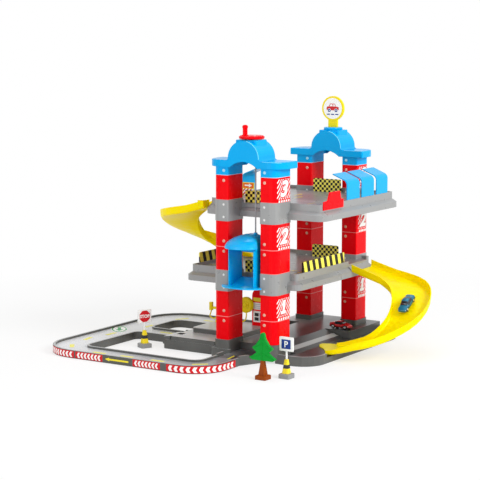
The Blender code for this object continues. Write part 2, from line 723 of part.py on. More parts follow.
def build_fittings():
    build_canopy("bay_canopy_front", 186.5, -46, 20, 1)
    build_canopy("bay_canopy_middle", 186.5, 32, 98, 1)
    build_canopy("bay_canopy_rear", 186.5, 112, 174, 1)
    build_canopy("bay_canopy_left", -143.5, -30, 34, -1)

    part("corner_closure", sideways([[(-172, 389), (-72, 389), (-72, 410), (-84, 411.5),
                                      (-90, 432), (-142, 432), (-152, 411.5),
                                      (-172, 410)]], 187.4, 190.4), "knob_red")
    checker = [("checker_board_3_rear", -33, 52, 159, FLOOR_3, 36),
               ("checker_board_2_rear", -35, 46, 159, FLOOR_2, 35)]
    for name, x0, x1, y, floor, height in checker:
        board = rect(x0, floor + GAP, x1, floor + height, 4)
        part(name, upright([rounded(board, 3)], y, y + 2.5), "board_yellow")
    half = GATE_THICK / 2
    for name, floor in (("lift_gate_3", FLOOR_3), ("lift_gate_2", FLOOR_2)):
        leaf = arc(GATE_Y, floor + GAP + half, half, 180, 360, 8)
        leaf += [(GATE_Y + half, floor + GATE_TOP), (GATE_Y - half, floor + GATE_TOP)]
        part(name, sideways([leaf], -GATE_HALF_X, GATE_HALF_X), "board_yellow")
    right = rect(-150, FLOOR_2 + DECK_RIM + GAP, 65, FLOOR_2 + 35, 3)
    part("striped_barrier_right", sideways([rounded(right, 3)], 114.8, 117.6), "board_yellow")
    left = rect(-144, FLOOR_2 + DECK_RIM + GAP, 20, FLOOR_2 + 35, 3)
    part("striped_barrier_left", sideways([rounded(left, 3)], -204.6, -201.8), "board_yellow")


def build_round_sign():
    disc = circle(0, PAD_TOP + 58, 33.5, 40)
    sign = part("round_sign", upright([disc], 204.5, 211.5), "board_yellow")
    join(sign, upright([rounded(rect(-14, 548, 14, PAD_TOP + 31, 1), 2)], 205, 211), "stem")


# Base fittings

def smooth_path(points, count):
    """A smooth curve through the points, read at even steps."""
    pts = [Vector(p) for p in points]
    ends = [pts[0] * 2 - pts[1]] + pts + [pts[-1] * 2 - pts[-2]]
    result = []
    for k in range(count + 1):
        t = k / count * (len(pts) - 1)
        i = min(int(t), len(pts) - 2)
        f = t - i
        a, b, c, d = ends[i:i + 4]
        value = 0.5 * (2 * b + (c - a) * f + (2 * a - 5 * b + 4 * c - d) * f * f
                       + (3 * b - a - 3 * c + d) * f ** 3)
        result.append(tuple(value))
    return result


def build_fuel():
    z = 48.0 + GAP
    body = [(-206, z), (-154, z), (-154, 96)] + arc(-180, 112, 26, 0, 180, 12) + [(-206, 96)]
    pump = part("fuel_pump", upright([body], -52, -38), "board_yellow")
    join(pump, upright([circle(-119, 103, 21.5, 28)], -50, -42), "reel")
    join(pump, upright([[(-160, 88), (-125, 88), (-125, 112), (-160, 112)]], -49, -43), "arm")
    join(pump, box(-236, -48, 82, -200, -42, 88), "hook")
    join(pump, box(-236, -49, 78, -228, -41, 100), "nozzle")
    foot = rounded(rect(-212, -58, -148, -32, 4), 3)
    join(pump, plate([foot], z, z + 6), "foot")
    left = smooth_path([(-232, -45, 77.2), (-232.6, -45, 73), (-236, -45, 61),
                        (-224, -45, 55.5), (-214.5, -45, 61), (-210, -45, 70)], 22)
    right = smooth_path([(-119, -45, 80.9), (-118.8, -45, 76), (-122, -45, 62),
                         (-133, -45, 55.5), (-144, -45, 60), (-151, -45, 68)], 22)
    part("fuel_hose_left", tube(left, 3.4), "board_yellow")
    part("fuel_hose_right", tube(right, 3.4), "board_yellow")
    shape = [(-104, z), (-66, z), (-66, 128)] + arc(-85, 129, 19, 0, 180, 10) + [(-104, 128)]
    part("service_kiosk", upright([shape], -40, -18), "knob_red")


# Loose pieces

def build_tree(x, y):
    right = [(5, 46), (29, 46), (37, 51.5), (27, 57), (16, 65), (29, 76), (19, 83), (8, 98),
             (6, 103), (5.5, 109), (3.2, 113), (0, 114.3)]
    outline = [(px, pz) for px, pz in right] + [(-px, pz) for px, pz in reversed(right[:-1])]
    green = part("tree_foliage", upright([outline], -4, 4), "tree_green")
    green.location = (x * MM, y * MM, 0)
    trunk = part("tree_trunk", stack([(rect(-15, -15, 15, 15, 3), 0.0),
                                      (rect(-15, -15, 15, 15, 3), 9),
                                      (rect(-14, -14, 14, 14, 3), 10),
                                      (rect(-9, -9, 9, 9, 2), 10.8),
                                      (rect(-4.5, -4.5, 4.5, 4.5, 1), 45.7)], 2), "trunk_brown")
    trunk.location = (x * MM, y * MM, 0)


def build_sign(name, x, y, plate_outline, turn):
    low = [(rect(-15, -15, 15, 15, 3), 0.0), (rect(-15, -15, 15, 15, 3), 10),
           (rect(-14, -14, 14, 14, 3), 11), (rect(-9, -9, 9, 9, 3), 11.6),
           (rect(-4.2, -4.2, 4.2, 4.2, 2), 46)]
    cone = part(name + "_cone", stack(low, 2), "cone_black")
    cone.location = (x * MM, y * MM, 0)
    cone.rotation_euler.z = math.radians(turn)
    sign = part(name, upright([plate_outline], -1.5, 1.5), "sign_white")
    join(sign, cylinder(0, 0, 46 + GAP, 84, 2.4, sides=12), "pole")
    sign.location = (x * MM, y * MM, 0)
    sign.rotation_euler.z = math.radians(turn)
    sign.modifiers["pole"].object.location = sign.location


def build_car(name, x, y, z, heading, pitch, roll, paint):
    """A small die-cast style car, 62 mm long, nose along its own +X."""
    holder = bpy.data.objects.new(name + "_place", None)
    PARTS.objects.link(holder)
    holder.location = (x * MM, y * MM, z * MM)
    holder.rotation_euler = (math.radians(roll), math.radians(pitch), math.radians(heading))
    rings = []
    for px, half, low, sill, top, roof in (
            (-31, 11.0, 6.0, 10, 13.5, 13.5), (-28, 12.6, 4.5, 11, 15.5, 15.7),
            (-17, 13.2, 4.5, 12, 15.8, 17.0), (-10, 13.2, 4.5, 12, 15.6, 21.2),
            (2, 13.2, 4.5, 12, 15.0, 21.4), (11, 13.2, 4.5, 12, 14.2, 14.8),
            (24, 12.6, 4.5, 11, 12.6, 13.0), (30, 10.5, 5.0, 8, 9.6, 9.8)):
        inner = half * 0.74
        rings.append([(px, -half * 0.9, low), (px, half * 0.9, low), (px, half, sill * 0.6),
                      (px, half, sill), (px, half * 0.93, top), (px, inner, roof),
                      (px, -inner, roof), (px, -half * 0.93, top), (px, -half, sill),
                      (px, -half, sill * 0.6)])
    body = part(name + "_body", loft(rings), paint, 40)
    for px in (-19.0, 18.5):
        wells = upright([circle(px, 6.0, 7.2, 20)], -20, 20)
        cut(body, wells, "wheel_arch")
        spine = box(px - 9, -7.5, 8.2, px + 9, 7.5, 12)
        join(body, spine, "spine")
    for mod in body.modifiers:
        mod.object.parent = holder
    body.parent = holder
    for label, px in (("rear", -19.0), ("front", 18.5)):
        axle = turned([(0, 12.8), (4.6, 12.8), (6.0, 12.0), (6.0, 8.4), (1.2, 8.2), (1.2, -8.2),
                       (6.0, -8.4), (6.0, -12.0), (4.6, -12.8), (0, -12.8)], 20)
        axle.transform(Matrix.Rotation(math.radians(90), 4, "X"))
        wheels = part(name + "_" + label + "_wheels", axle, "wheel_black")
        wheels.location = (px * MM, 0, 6.0 * MM)
        wheels.parent = holder
    return holder


def build_loose():
    build_tree(155, -400)
    square = rounded(rect(-19.5, 66, 19.5, 101, 2), 2)
    build_sign("parking_sign", 196, -358, square, 0)
    build_sign("stop_sign", -312, -243, square, STOP_TURN)
    build_car("red_car", 86, 108, FLOOR_1 + GAP, -3, 0, 0, "car_red")
    build_car("blue_car", 309.2, 57.0, 124.8, -91, 32.0, 2.0, "car_blue")


def build():
    build_base()
    build_posts()
    build_deck("deck_level_2", DECK_2_X, FLOOR_2,
               [(110, 88, 125, 188), (-212, 23, -198, 150), (-44, -182, 44, -172)],
               1, (88, 188))
    build_deck("deck_level_3", DECK_3_X, FLOOR_3,
               [(-150, -172, -138, -88), (-44, -182, 44, -172)], -1, (-172, -88))
    front = build_arch("front_arch")
    cut(front, cylinder(0, CRANK_Y, 540, PAD_TOP + 9, 4.4, sides=24), "crank_hole")
    rear = build_arch("rear_arch")
    for mod in rear.modifiers:
        mod.object.rotation_euler.z = math.pi
    rear.rotation_euler.z = math.pi
    cut(rear, box(-14.3, 204.7, 545, 14.3, 211.3, PAD_TOP + 9), "sign_slot")
    build_lift()
    skirt_2 = DECK_2_X[1] + DECK_SKIRT_OUT + GAP
    skirt_3 = -DECK_3_X[0] + DECK_SKIRT_OUT + GAP
    build_ramp("lower_ramp", skirt_2, FLOOR_2 - 20.5, ROAD_Z + GAP + 2.2, False)
    build_ramp("upper_ramp", skirt_3, FLOOR_3 - 20.5, FLOOR_2 + GAP + 2.2, True)
    build_fittings()
    build_round_sign()
    build_fuel()
    build_loose()


build()
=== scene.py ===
# %% [markdown]
# A toy parking garage: red shell posts, grey decks, sky-blue arches, a hand-cranked lift,
# yellow slides, a road base, small cars, signs and a tree.
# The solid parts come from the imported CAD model, so this file only dresses them: it gives each
# one a plastic, adds pegs, stickers and car trim, and then sets up the floor, lamps and camera.

import math

import bmesh
import bpy
from mathutils import Euler, Matrix, Vector
from mathutils.bvhtree import BVHTree


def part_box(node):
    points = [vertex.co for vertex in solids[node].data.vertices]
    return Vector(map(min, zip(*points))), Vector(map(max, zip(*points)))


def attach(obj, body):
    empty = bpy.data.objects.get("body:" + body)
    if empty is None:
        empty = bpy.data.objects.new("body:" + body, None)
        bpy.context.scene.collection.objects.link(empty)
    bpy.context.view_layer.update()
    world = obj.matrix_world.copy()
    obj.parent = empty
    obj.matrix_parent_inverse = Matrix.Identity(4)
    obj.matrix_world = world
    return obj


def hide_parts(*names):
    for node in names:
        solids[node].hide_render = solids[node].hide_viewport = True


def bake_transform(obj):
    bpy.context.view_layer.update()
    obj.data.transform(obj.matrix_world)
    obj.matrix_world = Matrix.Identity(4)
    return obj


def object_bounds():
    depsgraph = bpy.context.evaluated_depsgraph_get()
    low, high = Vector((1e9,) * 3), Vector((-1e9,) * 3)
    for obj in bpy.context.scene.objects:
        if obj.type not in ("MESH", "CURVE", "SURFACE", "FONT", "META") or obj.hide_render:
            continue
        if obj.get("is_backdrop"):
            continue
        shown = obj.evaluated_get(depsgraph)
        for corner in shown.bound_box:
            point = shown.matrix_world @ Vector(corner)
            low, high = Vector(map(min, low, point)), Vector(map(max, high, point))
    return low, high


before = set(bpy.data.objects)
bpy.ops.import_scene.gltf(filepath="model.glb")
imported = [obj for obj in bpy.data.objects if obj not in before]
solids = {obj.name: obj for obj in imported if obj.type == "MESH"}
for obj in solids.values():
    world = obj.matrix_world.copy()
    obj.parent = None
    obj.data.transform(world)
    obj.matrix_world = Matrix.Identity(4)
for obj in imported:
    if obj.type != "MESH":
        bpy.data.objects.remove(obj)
cad_low, cad_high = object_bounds()
MM = 0.001
size_mm = [round((b - a) / MM) for a, b in zip(cad_low, cad_high)]
print("loaded", len(solids), "solids, box in mm:", size_mm)

# %% [markdown]
# The camera is the photograph's: a long lens, 32.7 degrees round to the right and 7.8 degrees up.
# It could be placed by eye, but these numbers were fitted to the pegs on the posts, which stand
# at known heights, so every later piece can be compared with the photograph.

# %% Camera
camera_data = bpy.data.cameras.new("studio_camera")
camera = bpy.data.objects.new("studio_camera", camera_data)
bpy.context.scene.collection.objects.link(camera)
camera_data.lens = 123.89
camera_data.sensor_width = 36.0
camera_data.clip_start = 0.1
camera_data.clip_end = 60.0
camera.location = (2.22204, -3.71649, 0.87661)
camera.rotation_euler = Euler((math.radians(90 - 7.8303), 0, math.radians(32.7475)))
bpy.context.scene.camera = camera
print("camera at", tuple(round(v, 3) for v in camera.location))

# %% [markdown]
# Two small helpers carry every material. One turns an sRGB hex colour, as seen on a screen,
# into the linear values that the shader needs. The other adds one node with its settings,
# its socket values and its links, so a material reads like a short list.


# %% Colour and node helpers
def linear(hex_colour):
    """An sRGB hex colour as linear red, green, blue and alpha."""
    parts = [int(hex_colour[i:i + 2], 16) / 255 for i in (1, 3, 5)]
    return tuple(c / 12.92 if c <= 0.04045 else ((c + 0.055) / 1.055) ** 2.4
                 for c in parts) + (1.0,)


def add_node(tree, kind, **settings):
    """Add one node. A setting is a property, a socket's value, or a socket to link from."""
    made = tree.nodes.new("ShaderNode" + kind)
    for key, value in settings.items():
        if key in made.bl_rna.properties:
            setattr(made, key, value)
            continue
        at = int(key[1:]) if key[0] == "i" and key[1:].isdigit() else key.replace("_", " ")
        socket = made.inputs[at]
        if isinstance(value, bpy.types.NodeSocket):
            tree.links.new(value, socket)
        else:
            socket.default_value = value
    return made


def every_mm(size):
    """The texture scale at which one feature is this many millimetres wide."""
    return 1.0 / (size * MM)


def new_material(name):
    made = bpy.data.materials.new(name)
    made.use_nodes = True
    made.node_tree.nodes.clear()
    return made, made.node_tree


print("a 2 mm grain needs a texture scale of", round(every_mm(2.0)))

# %% [markdown]
# Most pieces end the same way: the working mesh is closed, becomes an object with its finish and
# rides on one body of the toy, so that it moves with it. Three short functions do that here. The
# lines could be repeated at every piece, but then a slip in one of them would be easy to miss.


# %% Piece helpers
def mesh_of(bm, name):
    """Close a working mesh."""
    mesh = bpy.data.meshes.new(name)
    bm.to_mesh(mesh)
    bm.free()
    return mesh


def new_piece(name, mesh, body, *finishes):
    """A mesh as a piece of the toy, with its finishes, riding on one body."""
    for finish in finishes:
        mesh.materials.append(finish)
    piece = bpy.data.objects.new(name, mesh)
    bpy.context.scene.collection.objects.link(piece)
    if body:
        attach(piece, body)
    return piece


def dress(node, finish):
    """Give a CAD solid its finish."""
    slots = solids[node].data.materials
    slots.clear()
    slots.append(finish)


# %% [markdown]
# Nearly everything here is injection-moulded plastic. Such a surface is even in colour, with a
# faint cloudiness from the pigment, a very shallow waviness where thick walls sank as they
# cooled, and a fine skin copied from the steel mould: polished for gloss parts, spark-eroded for
# matt ones. Edges are never razor sharp, so a bevel in the normal rounds them for the light.
# Noise texture nodes make this from real sizes. ABS, polystyrene and polyethylene
# all have an index of refraction near 1.5.


# %% Moulded plastic
def moulded(name, colour, roughness, skin_mm, skin_depth, cloud=0.05, edge_mm=0.7, ior=1.53,
            glow=0.0, shine=0.3):
    """Injection-moulded plastic: pigment clouds, sink waves, mould skin and rounded edges."""
    made, tree = new_material(name)
    where = add_node(tree, "TexCoord").outputs["Object"]
    pigment = add_node(tree, "TexNoise", Vector=where, Scale=every_mm(46), Detail=3.0)
    base = linear(colour)
    deep = tuple(c * (1 - cloud) for c in base[:3]) + (1.0,)
    pale = tuple(min(1.0, c * (1 + cloud)) for c in base[:3]) + (1.0,)
    tint = add_node(tree, "Mix", data_type="RGBA", i0=pigment.outputs[0], i6=deep, i7=pale)
    handled = add_node(tree, "TexNoise", Vector=where, Scale=every_mm(17), Detail=4.0)
    gloss = add_node(tree, "MapRange", Value=handled.outputs[0], From_Min=0.3, From_Max=0.7,
                     To_Min=roughness - 0.035, To_Max=roughness + 0.045)
    sink = add_node(tree, "TexNoise", Vector=where, Scale=every_mm(24), Detail=1.0)
    wavy = add_node(tree, "Bump", Height=sink.outputs[0], Strength=0.12, Distance=0.2 * MM)
    if edge_mm:
        rounded = add_node(tree, "Bevel", samples=6, Radius=edge_mm * MM)
        tree.links.new(rounded.outputs[0], wavy.inputs["Normal"])
    skin = add_node(tree, "TexNoise", Vector=where, Scale=every_mm(skin_mm), Detail=2.0)
    grained = add_node(tree, "Bump", Height=skin.outputs[0], Strength=0.12,
                       Distance=skin_depth * MM, Normal=wavy.outputs[0])
    shader = add_node(tree, "BsdfPrincipled", Base_Color=tint.outputs[2],
                      Roughness=gloss.outputs[0], IOR=ior, Normal=grained.outputs[0])
    shader.inputs["Specular IOR Level"].default_value = shine
    if glow:
        shader.inputs["Subsurface Weight"].default_value = glow
        shader.inputs["Subsurface Radius"].default_value = (1.0, 0.6, 0.2)
        shader.inputs["Subsurface Scale"].default_value = 4.0 * MM
    add_node(tree, "OutputMaterial", Surface=shader.outputs[0])
    return made


# Polished-mould ABS, as in toy bricks: clean colour and a soft, sharp-edged highlight.
red_abs = moulded("ABS moulded gloss pillar-box red", "#F2020F", 0.25, 2.0, 0.0, cloud=0.02,
                  edge_mm=0, shine=0.06)
blue_abs = moulded("ABS moulded gloss sky blue", "#00A8EA", 0.22, 2.0, 0.0, cloud=0.02,
                   edge_mm=1.6, shine=0.09)
blue_thin = moulded("ABS moulded thin-wall sky blue", "#00AEEC", 0.2, 2.0, 0.0, cloud=0.02,
                    edge_mm=0, glow=0.5, shine=0.25)
canopy_blue = moulded("ABS moulded canopy sky blue", "#00A6E2", 0.22, 2.0, 0.0, cloud=0.02,
                      edge_mm=0, shine=0.14)
# Pale blue for the thin tubes along the arch edges: a painted highlight.
arch_highlight_blue = moulded("ABS painted highlight line pale blue", "#7CE4FF", 0.2, 2.0, 0.0, cloud=0.02,
                    edge_mm=0, shine=0.4)
# High-impact polystyrene from a lightly blasted mould: a satin grey that scatters highlights.
deck_grey = moulded("polystyrene moulded satin grey", "#8F9090", 0.3, 1.8, 0.0, cloud=0.03,
                    edge_mm=0, shine=0.7)
# Polyethylene is waxy and slightly see-through, which softens its shading from below.
slide_yellow = moulded("polyethylene moulded slide yellow", "#FFE300", 0.32, 2.4, 0.0,
                       cloud=0.02, edge_mm=0, ior=1.51, glow=0.45, shine=0.06)
part_yellow = moulded("ABS moulded gloss yellow", "#F6DE00", 0.32, 2.0, 0.02, edge_mm=0.25,
                      shine=0.2)
leaf_green = moulded("polyethylene moulded leaf green", "#07962F", 0.42, 1.8, 0.05, ior=1.51,
                     shine=0.1)
bark_brown = moulded("polyethylene moulded bark brown", "#8E3F06", 0.44, 2.2, 0.08, ior=1.51,
                     shine=0.12)
drum_white = moulded("acetal moulded drum white", "#E2E2DE", 0.36, 1.0, 0.02, ior=1.48)
peg_grey = moulded("nylon moulded peg grey", "#DEDDDB", 0.33, 1.5, 0.02, edge_mm=0.3)
# Rose and pale blue pegs: grey-white pegs with a painted reflection of the red or blue shell.
peg_red_reflection_tint = moulded("nylon peg with painted red reflection", "#E2A894", 0.33, 1.5, 0.02, edge_mm=0.3)
peg_blue_reflection_tint = moulded("nylon peg with painted blue reflection", "#A4D9EE", 0.33, 1.5, 0.02, edge_mm=0.3)
# Pale rose and pale blue lips in place of the red and blue plastic: a painted highlight.
lip_highlight_rose = moulded("ABS seam lip with painted highlight rose", "#FF8F8F", 0.3, 1.5, 0.02, edge_mm=0.3)
lip_highlight_pale_blue = moulded("ABS seam lip with painted highlight pale blue", "#9FDCF6", 0.3, 1.5, 0.02, edge_mm=0.3)
sign_white = moulded("polystyrene moulded sign white", "#F1F1EF", 0.34, 1.0, 0.02)
print("moulded plastics:", len(bpy.data.materials))

# %% [markdown]
# The base tiles are dark grey polypropylene from a spark-eroded mould. From above they look
# paler: partly from a light printed road surface, partly as a painted sheen of light from above.
# Along X the floor also fades from a lit pale grey to a painted shade, darkest under the tower, and
# a band at kerb height is a painted highlight on the rim tops. A mask of height and up-facing
# normals paints that lighter grey only on the road floor and the tops of the kerbs.


# %% Base tiles
def base_material(name, side, road, top, lit_from_x, shaded_from_x, highlight_low, highlight_high):
    """Dark walls, a floor painted from lit to shaded along X, and painted highlights on rim tops.
    """
    made, tree = new_material(name)
    where = add_node(tree, "TexCoord").outputs["Object"]
    split = add_node(tree, "SeparateXYZ", Vector=where)
    facing = add_node(tree, "SeparateXYZ",
                      Vector=add_node(tree, "NewGeometry").outputs["Normal"])
    # Up-facing faces take the floor colour: partly the printed road, partly a painted sheen from
    # above.
    road_print_and_sheen_mask = add_node(tree, "MapRange", Value=facing.outputs[2], From_Min=0.55, From_Max=0.9)
    # Painted light and shade: the floor turns from the lit colour to the shaded one along X.
    along = add_node(tree, "MapRange", Value=split.outputs[0], From_Min=lit_from_x, From_Max=shaded_from_x)
    speckle = add_node(tree, "TexNoise", Vector=where, Scale=every_mm(3.2), Detail=5.0)
    worn = add_node(tree, "TexNoise", Vector=where, Scale=every_mm(60), Detail=3.0)
    pale = add_node(tree, "Mix", data_type="RGBA", i0=along.outputs[0], i6=linear(road),
                    i7=linear(top))
    # A band at kerb height gets a pale grey on its up-facing tops: a painted highlight.
    above = add_node(tree, "Math", operation="GREATER_THAN", i0=split.outputs[2],
                     i1=highlight_low * MM)
    below = add_node(tree, "Math", operation="LESS_THAN", i0=split.outputs[2], i1=highlight_high * MM)
    rim = add_node(tree, "Math", operation="MULTIPLY", i0=above.outputs[0], i1=below.outputs[0])
    with_rim_highlight = add_node(tree, "Mix", data_type="RGBA", i0=rim.outputs[0], i6=pale.outputs[2],
                     i7=linear("#A9AAAA"))
    road_print_and_sheen = add_node(tree, "Mix", data_type="RGBA", blend_type="MULTIPLY", i0=0.10,
                         i6=with_rim_highlight.outputs[2], i7=speckle.outputs["Color"])
    plain = add_node(tree, "Mix", data_type="RGBA", i0=worn.outputs[0], i6=linear(side),
                     i7=linear("#666764"))
    tone = add_node(tree, "Mix", data_type="RGBA", i0=road_print_and_sheen_mask.outputs[0], i6=plain.outputs[2],
                    i7=road_print_and_sheen.outputs[2])
    rounded = add_node(tree, "Bevel", samples=4, Radius=0.8 * MM)
    erosion = add_node(tree, "TexNoise", Vector=where, Scale=every_mm(1.0), Detail=3.0)
    rough = add_node(tree, "MapRange", Value=worn.outputs[0], To_Min=0.26, To_Max=0.36)
    bump = add_node(tree, "Bump", Height=erosion.outputs[0], Strength=0.15, Distance=0.05 * MM,
                    Normal=rounded.outputs[0])
    shader = add_node(tree, "BsdfPrincipled", Base_Color=tone.outputs[2],
                      Roughness=rough.outputs[0], IOR=1.49, Normal=bump.outputs[0])
    add_node(tree, "OutputMaterial", Surface=shader.outputs[0])
    return made


# Road tile: lit pale floor at the left, painted shade towards the tower, painted rim highlight.
road_tile = base_material("polypropylene spark-eroded road grey", "#434442", "#DCDDE0",
                          "#85878A", lit_from_x=-0.46, shaded_from_x=0.02, highlight_low=19.5, highlight_high=22.0)
# Tower tile: the floor under the tower is a painted shade of dark grey.
tower_tile = base_material("polypropylene spark-eroded base grey", "#434442", "#C8C9C9",
                           "#3E3F3F", lit_from_x=-0.12, shaded_from_x=0.0, highlight_low=20.5, highlight_high=26.0)
print("base tiles: dark walls, paler road floor")

# %% [markdown]
# The checkered boards and striped barriers are yellow plastic plates with a printed film on
# both faces. The black squares and bars repeat at a measured pitch, so a checker and a stepped
# wave in millimetres draw them, and no picture is needed. The film gives a clear, even gloss.


# %% Printed plates
def printed_plate(name, paper, ink, pitch_mm, bars, across, lean=0.0, shift=0.0):
    """A film-covered plate with a black pattern: squares, or leaning bars along an axis."""
    made, tree = new_material(name)
    where = add_node(tree, "TexCoord").outputs["Object"]
    split = add_node(tree, "SeparateXYZ", Vector=where)
    length = split.outputs[across]
    if bars:
        slant = add_node(tree, "Math", operation="MULTIPLY_ADD", i0=split.outputs[2], i1=lean,
                         i2=length)
        count = add_node(tree, "Math", operation="MULTIPLY_ADD", i0=slant.outputs[0],
                         i1=every_mm(pitch_mm), i2=shift)
        part = add_node(tree, "Math", operation="FRACT", i0=count.outputs[0])
        mask = add_node(tree, "Math", operation="LESS_THAN", i0=part.outputs[0], i1=0.5)
        covered = mask.outputs[0]
    else:
        flat = add_node(tree, "CombineXYZ", X=length, Y=split.outputs[2])
        moved = add_node(tree, "VectorMath", operation="ADD", i0=flat.outputs[0],
                         i1=(shift, shift, 0.0003))
        covered = add_node(tree, "TexChecker", Vector=moved.outputs[0],
                           Scale=every_mm(pitch_mm)).outputs["Fac"]
    dots = add_node(tree, "TexNoise", Vector=where, Scale=every_mm(1.2), Detail=2.0)
    printed = add_node(tree, "Mix", data_type="RGBA", i0=covered, i6=linear(paper),
                       i7=linear(ink))
    soft = add_node(tree, "Mix", data_type="RGBA", blend_type="MULTIPLY", i0=0.06,
                    i6=printed.outputs[2], i7=dots.outputs["Color"])
    rounded = add_node(tree, "Bevel", samples=4, Radius=0.4 * MM)
    shader = add_node(tree, "BsdfPrincipled", Base_Color=soft.outputs[2], Roughness=0.36,
                      IOR=1.5, Coat_Weight=0.1, Coat_Roughness=0.12,
                      Normal=rounded.outputs[0])
    shader.inputs["Specular IOR Level"].default_value = 0.2
    add_node(tree, "OutputMaterial", Surface=shader.outputs[0])
    return made


checkered = printed_plate("vinyl printed checker film", "#FFF06A", "#0A0906", 6.9, False, 0)
gate_check = printed_plate("vinyl printed gate checker film", "#FFF06A", "#0A0906", 7.2, False, 0)
barred = printed_plate("vinyl printed barrier film", "#FBEF5E", "#0C0A07", 29.0, True, 1, 0.3)
print("printed plates: 6.9 mm squares, 29 mm bars")


# %% [markdown]
# Stickers are thin vinyl with screen-printed inks. Each ink is one flat colour on the real
# thing, with a faint mottle from the mesh of the screen and a smooth clear layer over it.
# One function makes an ink, so all stickers share the same film.


# %% Sticker inks
def ink(name, colour):
    made, tree = new_material("vinyl ink " + name)
    where = add_node(tree, "TexCoord").outputs["Object"]
    mesh_mark = add_node(tree, "TexNoise", Vector=where, Scale=every_mm(0.9), Detail=2.0)
    solid = linear(colour)
    thin = tuple(min(1.0, c * 0.93 + 0.012) for c in solid[:3]) + (1.0,)
    laid = add_node(tree, "Mix", data_type="RGBA", i0=mesh_mark.outputs[0], i6=thin, i7=solid)
    film = add_node(tree, "TexNoise", Vector=where, Scale=every_mm(14), Detail=1.0)
    ripple = add_node(tree, "Bump", Height=film.outputs[0], Strength=0.2, Distance=0.1 * MM)
    shader = add_node(tree, "BsdfPrincipled", Base_Color=laid.outputs[2], Roughness=0.38,
                      IOR=1.5, Coat_Weight=0.08, Coat_Roughness=0.1, Normal=ripple.outputs[0])
    shader.inputs["Specular IOR Level"].default_value = 0.2
    add_node(tree, "OutputMaterial", Surface=shader.outputs[0])
    return made


INKS = {name: ink(name, colour) for name, colour in (
    ("white", "#FAFAF8"), ("red", "#D00C18"), ("deep_red", "#A81420"), ("yellow", "#F3E12E"),
    ("road_yellow", "#EDE662"), ("black", "#17171A"), ("blue", "#1B3A8C"), ("grey", "#55564F"),
    ("green", "#14A14A"), ("orange", "#EE6A12"), ("silver", "#C9CCD0"))}
print("inks:", ", ".join(INKS))

# %% [markdown]
# A sticker starts as flat outlines in millimetres, u to the right and v up. Overlapping inks lie
# a few hundredths of a millimetre above each other so that none flickers. The outlines are cut
# into strips where the surface below is curved, and a rule then lays each point: on a plane,
# along a wall, or dropped straight onto a solid. Flat shapes could be painted in a texture
# instead, but a mesh keeps the edges sharp at any distance.


# %% Sticker helpers
def clipped(points, low, high):
    """The part of a convex outline inside the box from low to high."""
    for axis in (0, 1):
        for bound, sign in ((low[axis], 1), (high[axis], -1)):
            kept = []
            for a, b in zip(points, points[1:] + points[:1]):
                da, db = sign * (a[axis] - bound), sign * (b[axis] - bound)
                if da >= 0:
                    kept.append(a)
                if da * db < 0:
                    t = da / (da - db)
                    kept.append((a[0] + (b[0] - a[0]) * t, a[1] + (b[1] - a[1]) * t))
            points = kept
            if len(points) < 3:
                return []
    return points


def ring(cx, cy, rx, ry=None, steps=36):
    """A circle or oval outline."""
    ry = rx if ry is None else ry
    return [(cx + rx * math.cos(math.tau * k / steps), cy + ry * math.sin(math.tau * k / steps))
            for k in range(steps)]


def panel(x0, y0, x1, y1, corner=0.0):
    """A rectangle, with round corners if wanted."""
    if corner <= 0:
        return [(x0, y0), (x1, y0), (x1, y1), (x0, y1)]
    made = []
    for cx, cy, turn in ((x1 - corner, y0 + corner, -90), (x1 - corner, y1 - corner, 0),
                         (x0 + corner, y1 - corner, 90), (x0 + corner, y0 + corner, 180)):
        for k in range(5):
            a = math.radians(turn + 22.5 * k)
            made.append((cx + corner * math.cos(a), cy + corner * math.sin(a)))
    return made


def lettering(text, height, bold=0.0, slant=0.0, wide=1.0):
    """A filled text as a flat mesh, in millimetres, centred on its own middle."""
    curve = bpy.data.curves.new("lettering", "FONT")
    curve.body = text
    curve.size = height * 1.38
    curve.offset = bold
    curve.shear = slant
    curve.align_x = "CENTER"
    curve.resolution_u = 5
    holder = bpy.data.objects.new("lettering", curve)
    bpy.context.scene.collection.objects.link(holder)
    graph = bpy.context.evaluated_depsgraph_get()
    mesh = bpy.data.meshes.new_from_object(holder.evaluated_get(graph))
    bpy.data.objects.remove(holder)
    xs = [v.co.x for v in mesh.vertices]
    ys = [v.co.y for v in mesh.vertices]
    mesh.transform(Matrix.Translation((-(min(xs) + max(xs)) / 2, -(min(ys) + max(ys)) / 2, 0)))
    mesh.transform(Matrix.Diagonal((wide, 1.0, 1.0, 1.0)))
    return mesh


def add_shape(sheet, outline, colour, lift):
    """Add one outline of one ink to a sheet of stickers."""
    bm, inks = sheet
    if len(outline) < 3:
        return
    if colour not in inks:
        inks.append(colour)
    face = bm.faces.new([bm.verts.new((x, y, lift)) for x, y in outline])
    face.material_index = inks.index(colour)


def add_letters(sheet, mesh, at, colour, lift):
    bm, inks = sheet
    if colour not in inks:
        inks.append(colour)
    before = set(bm.faces)
    moved = mesh.copy()
    moved.transform(Matrix.Translation((at[0], at[1], lift)))
    bm.from_mesh(moved)
    for face in bm.faces:
        if face not in before:
            face.material_index = inks.index(colour)
            face.normal_update()
            if face.normal.z < 0:
                face.normal_flip()
    bpy.data.meshes.remove(moved)


def new_sheet():
    return bmesh.new(), []


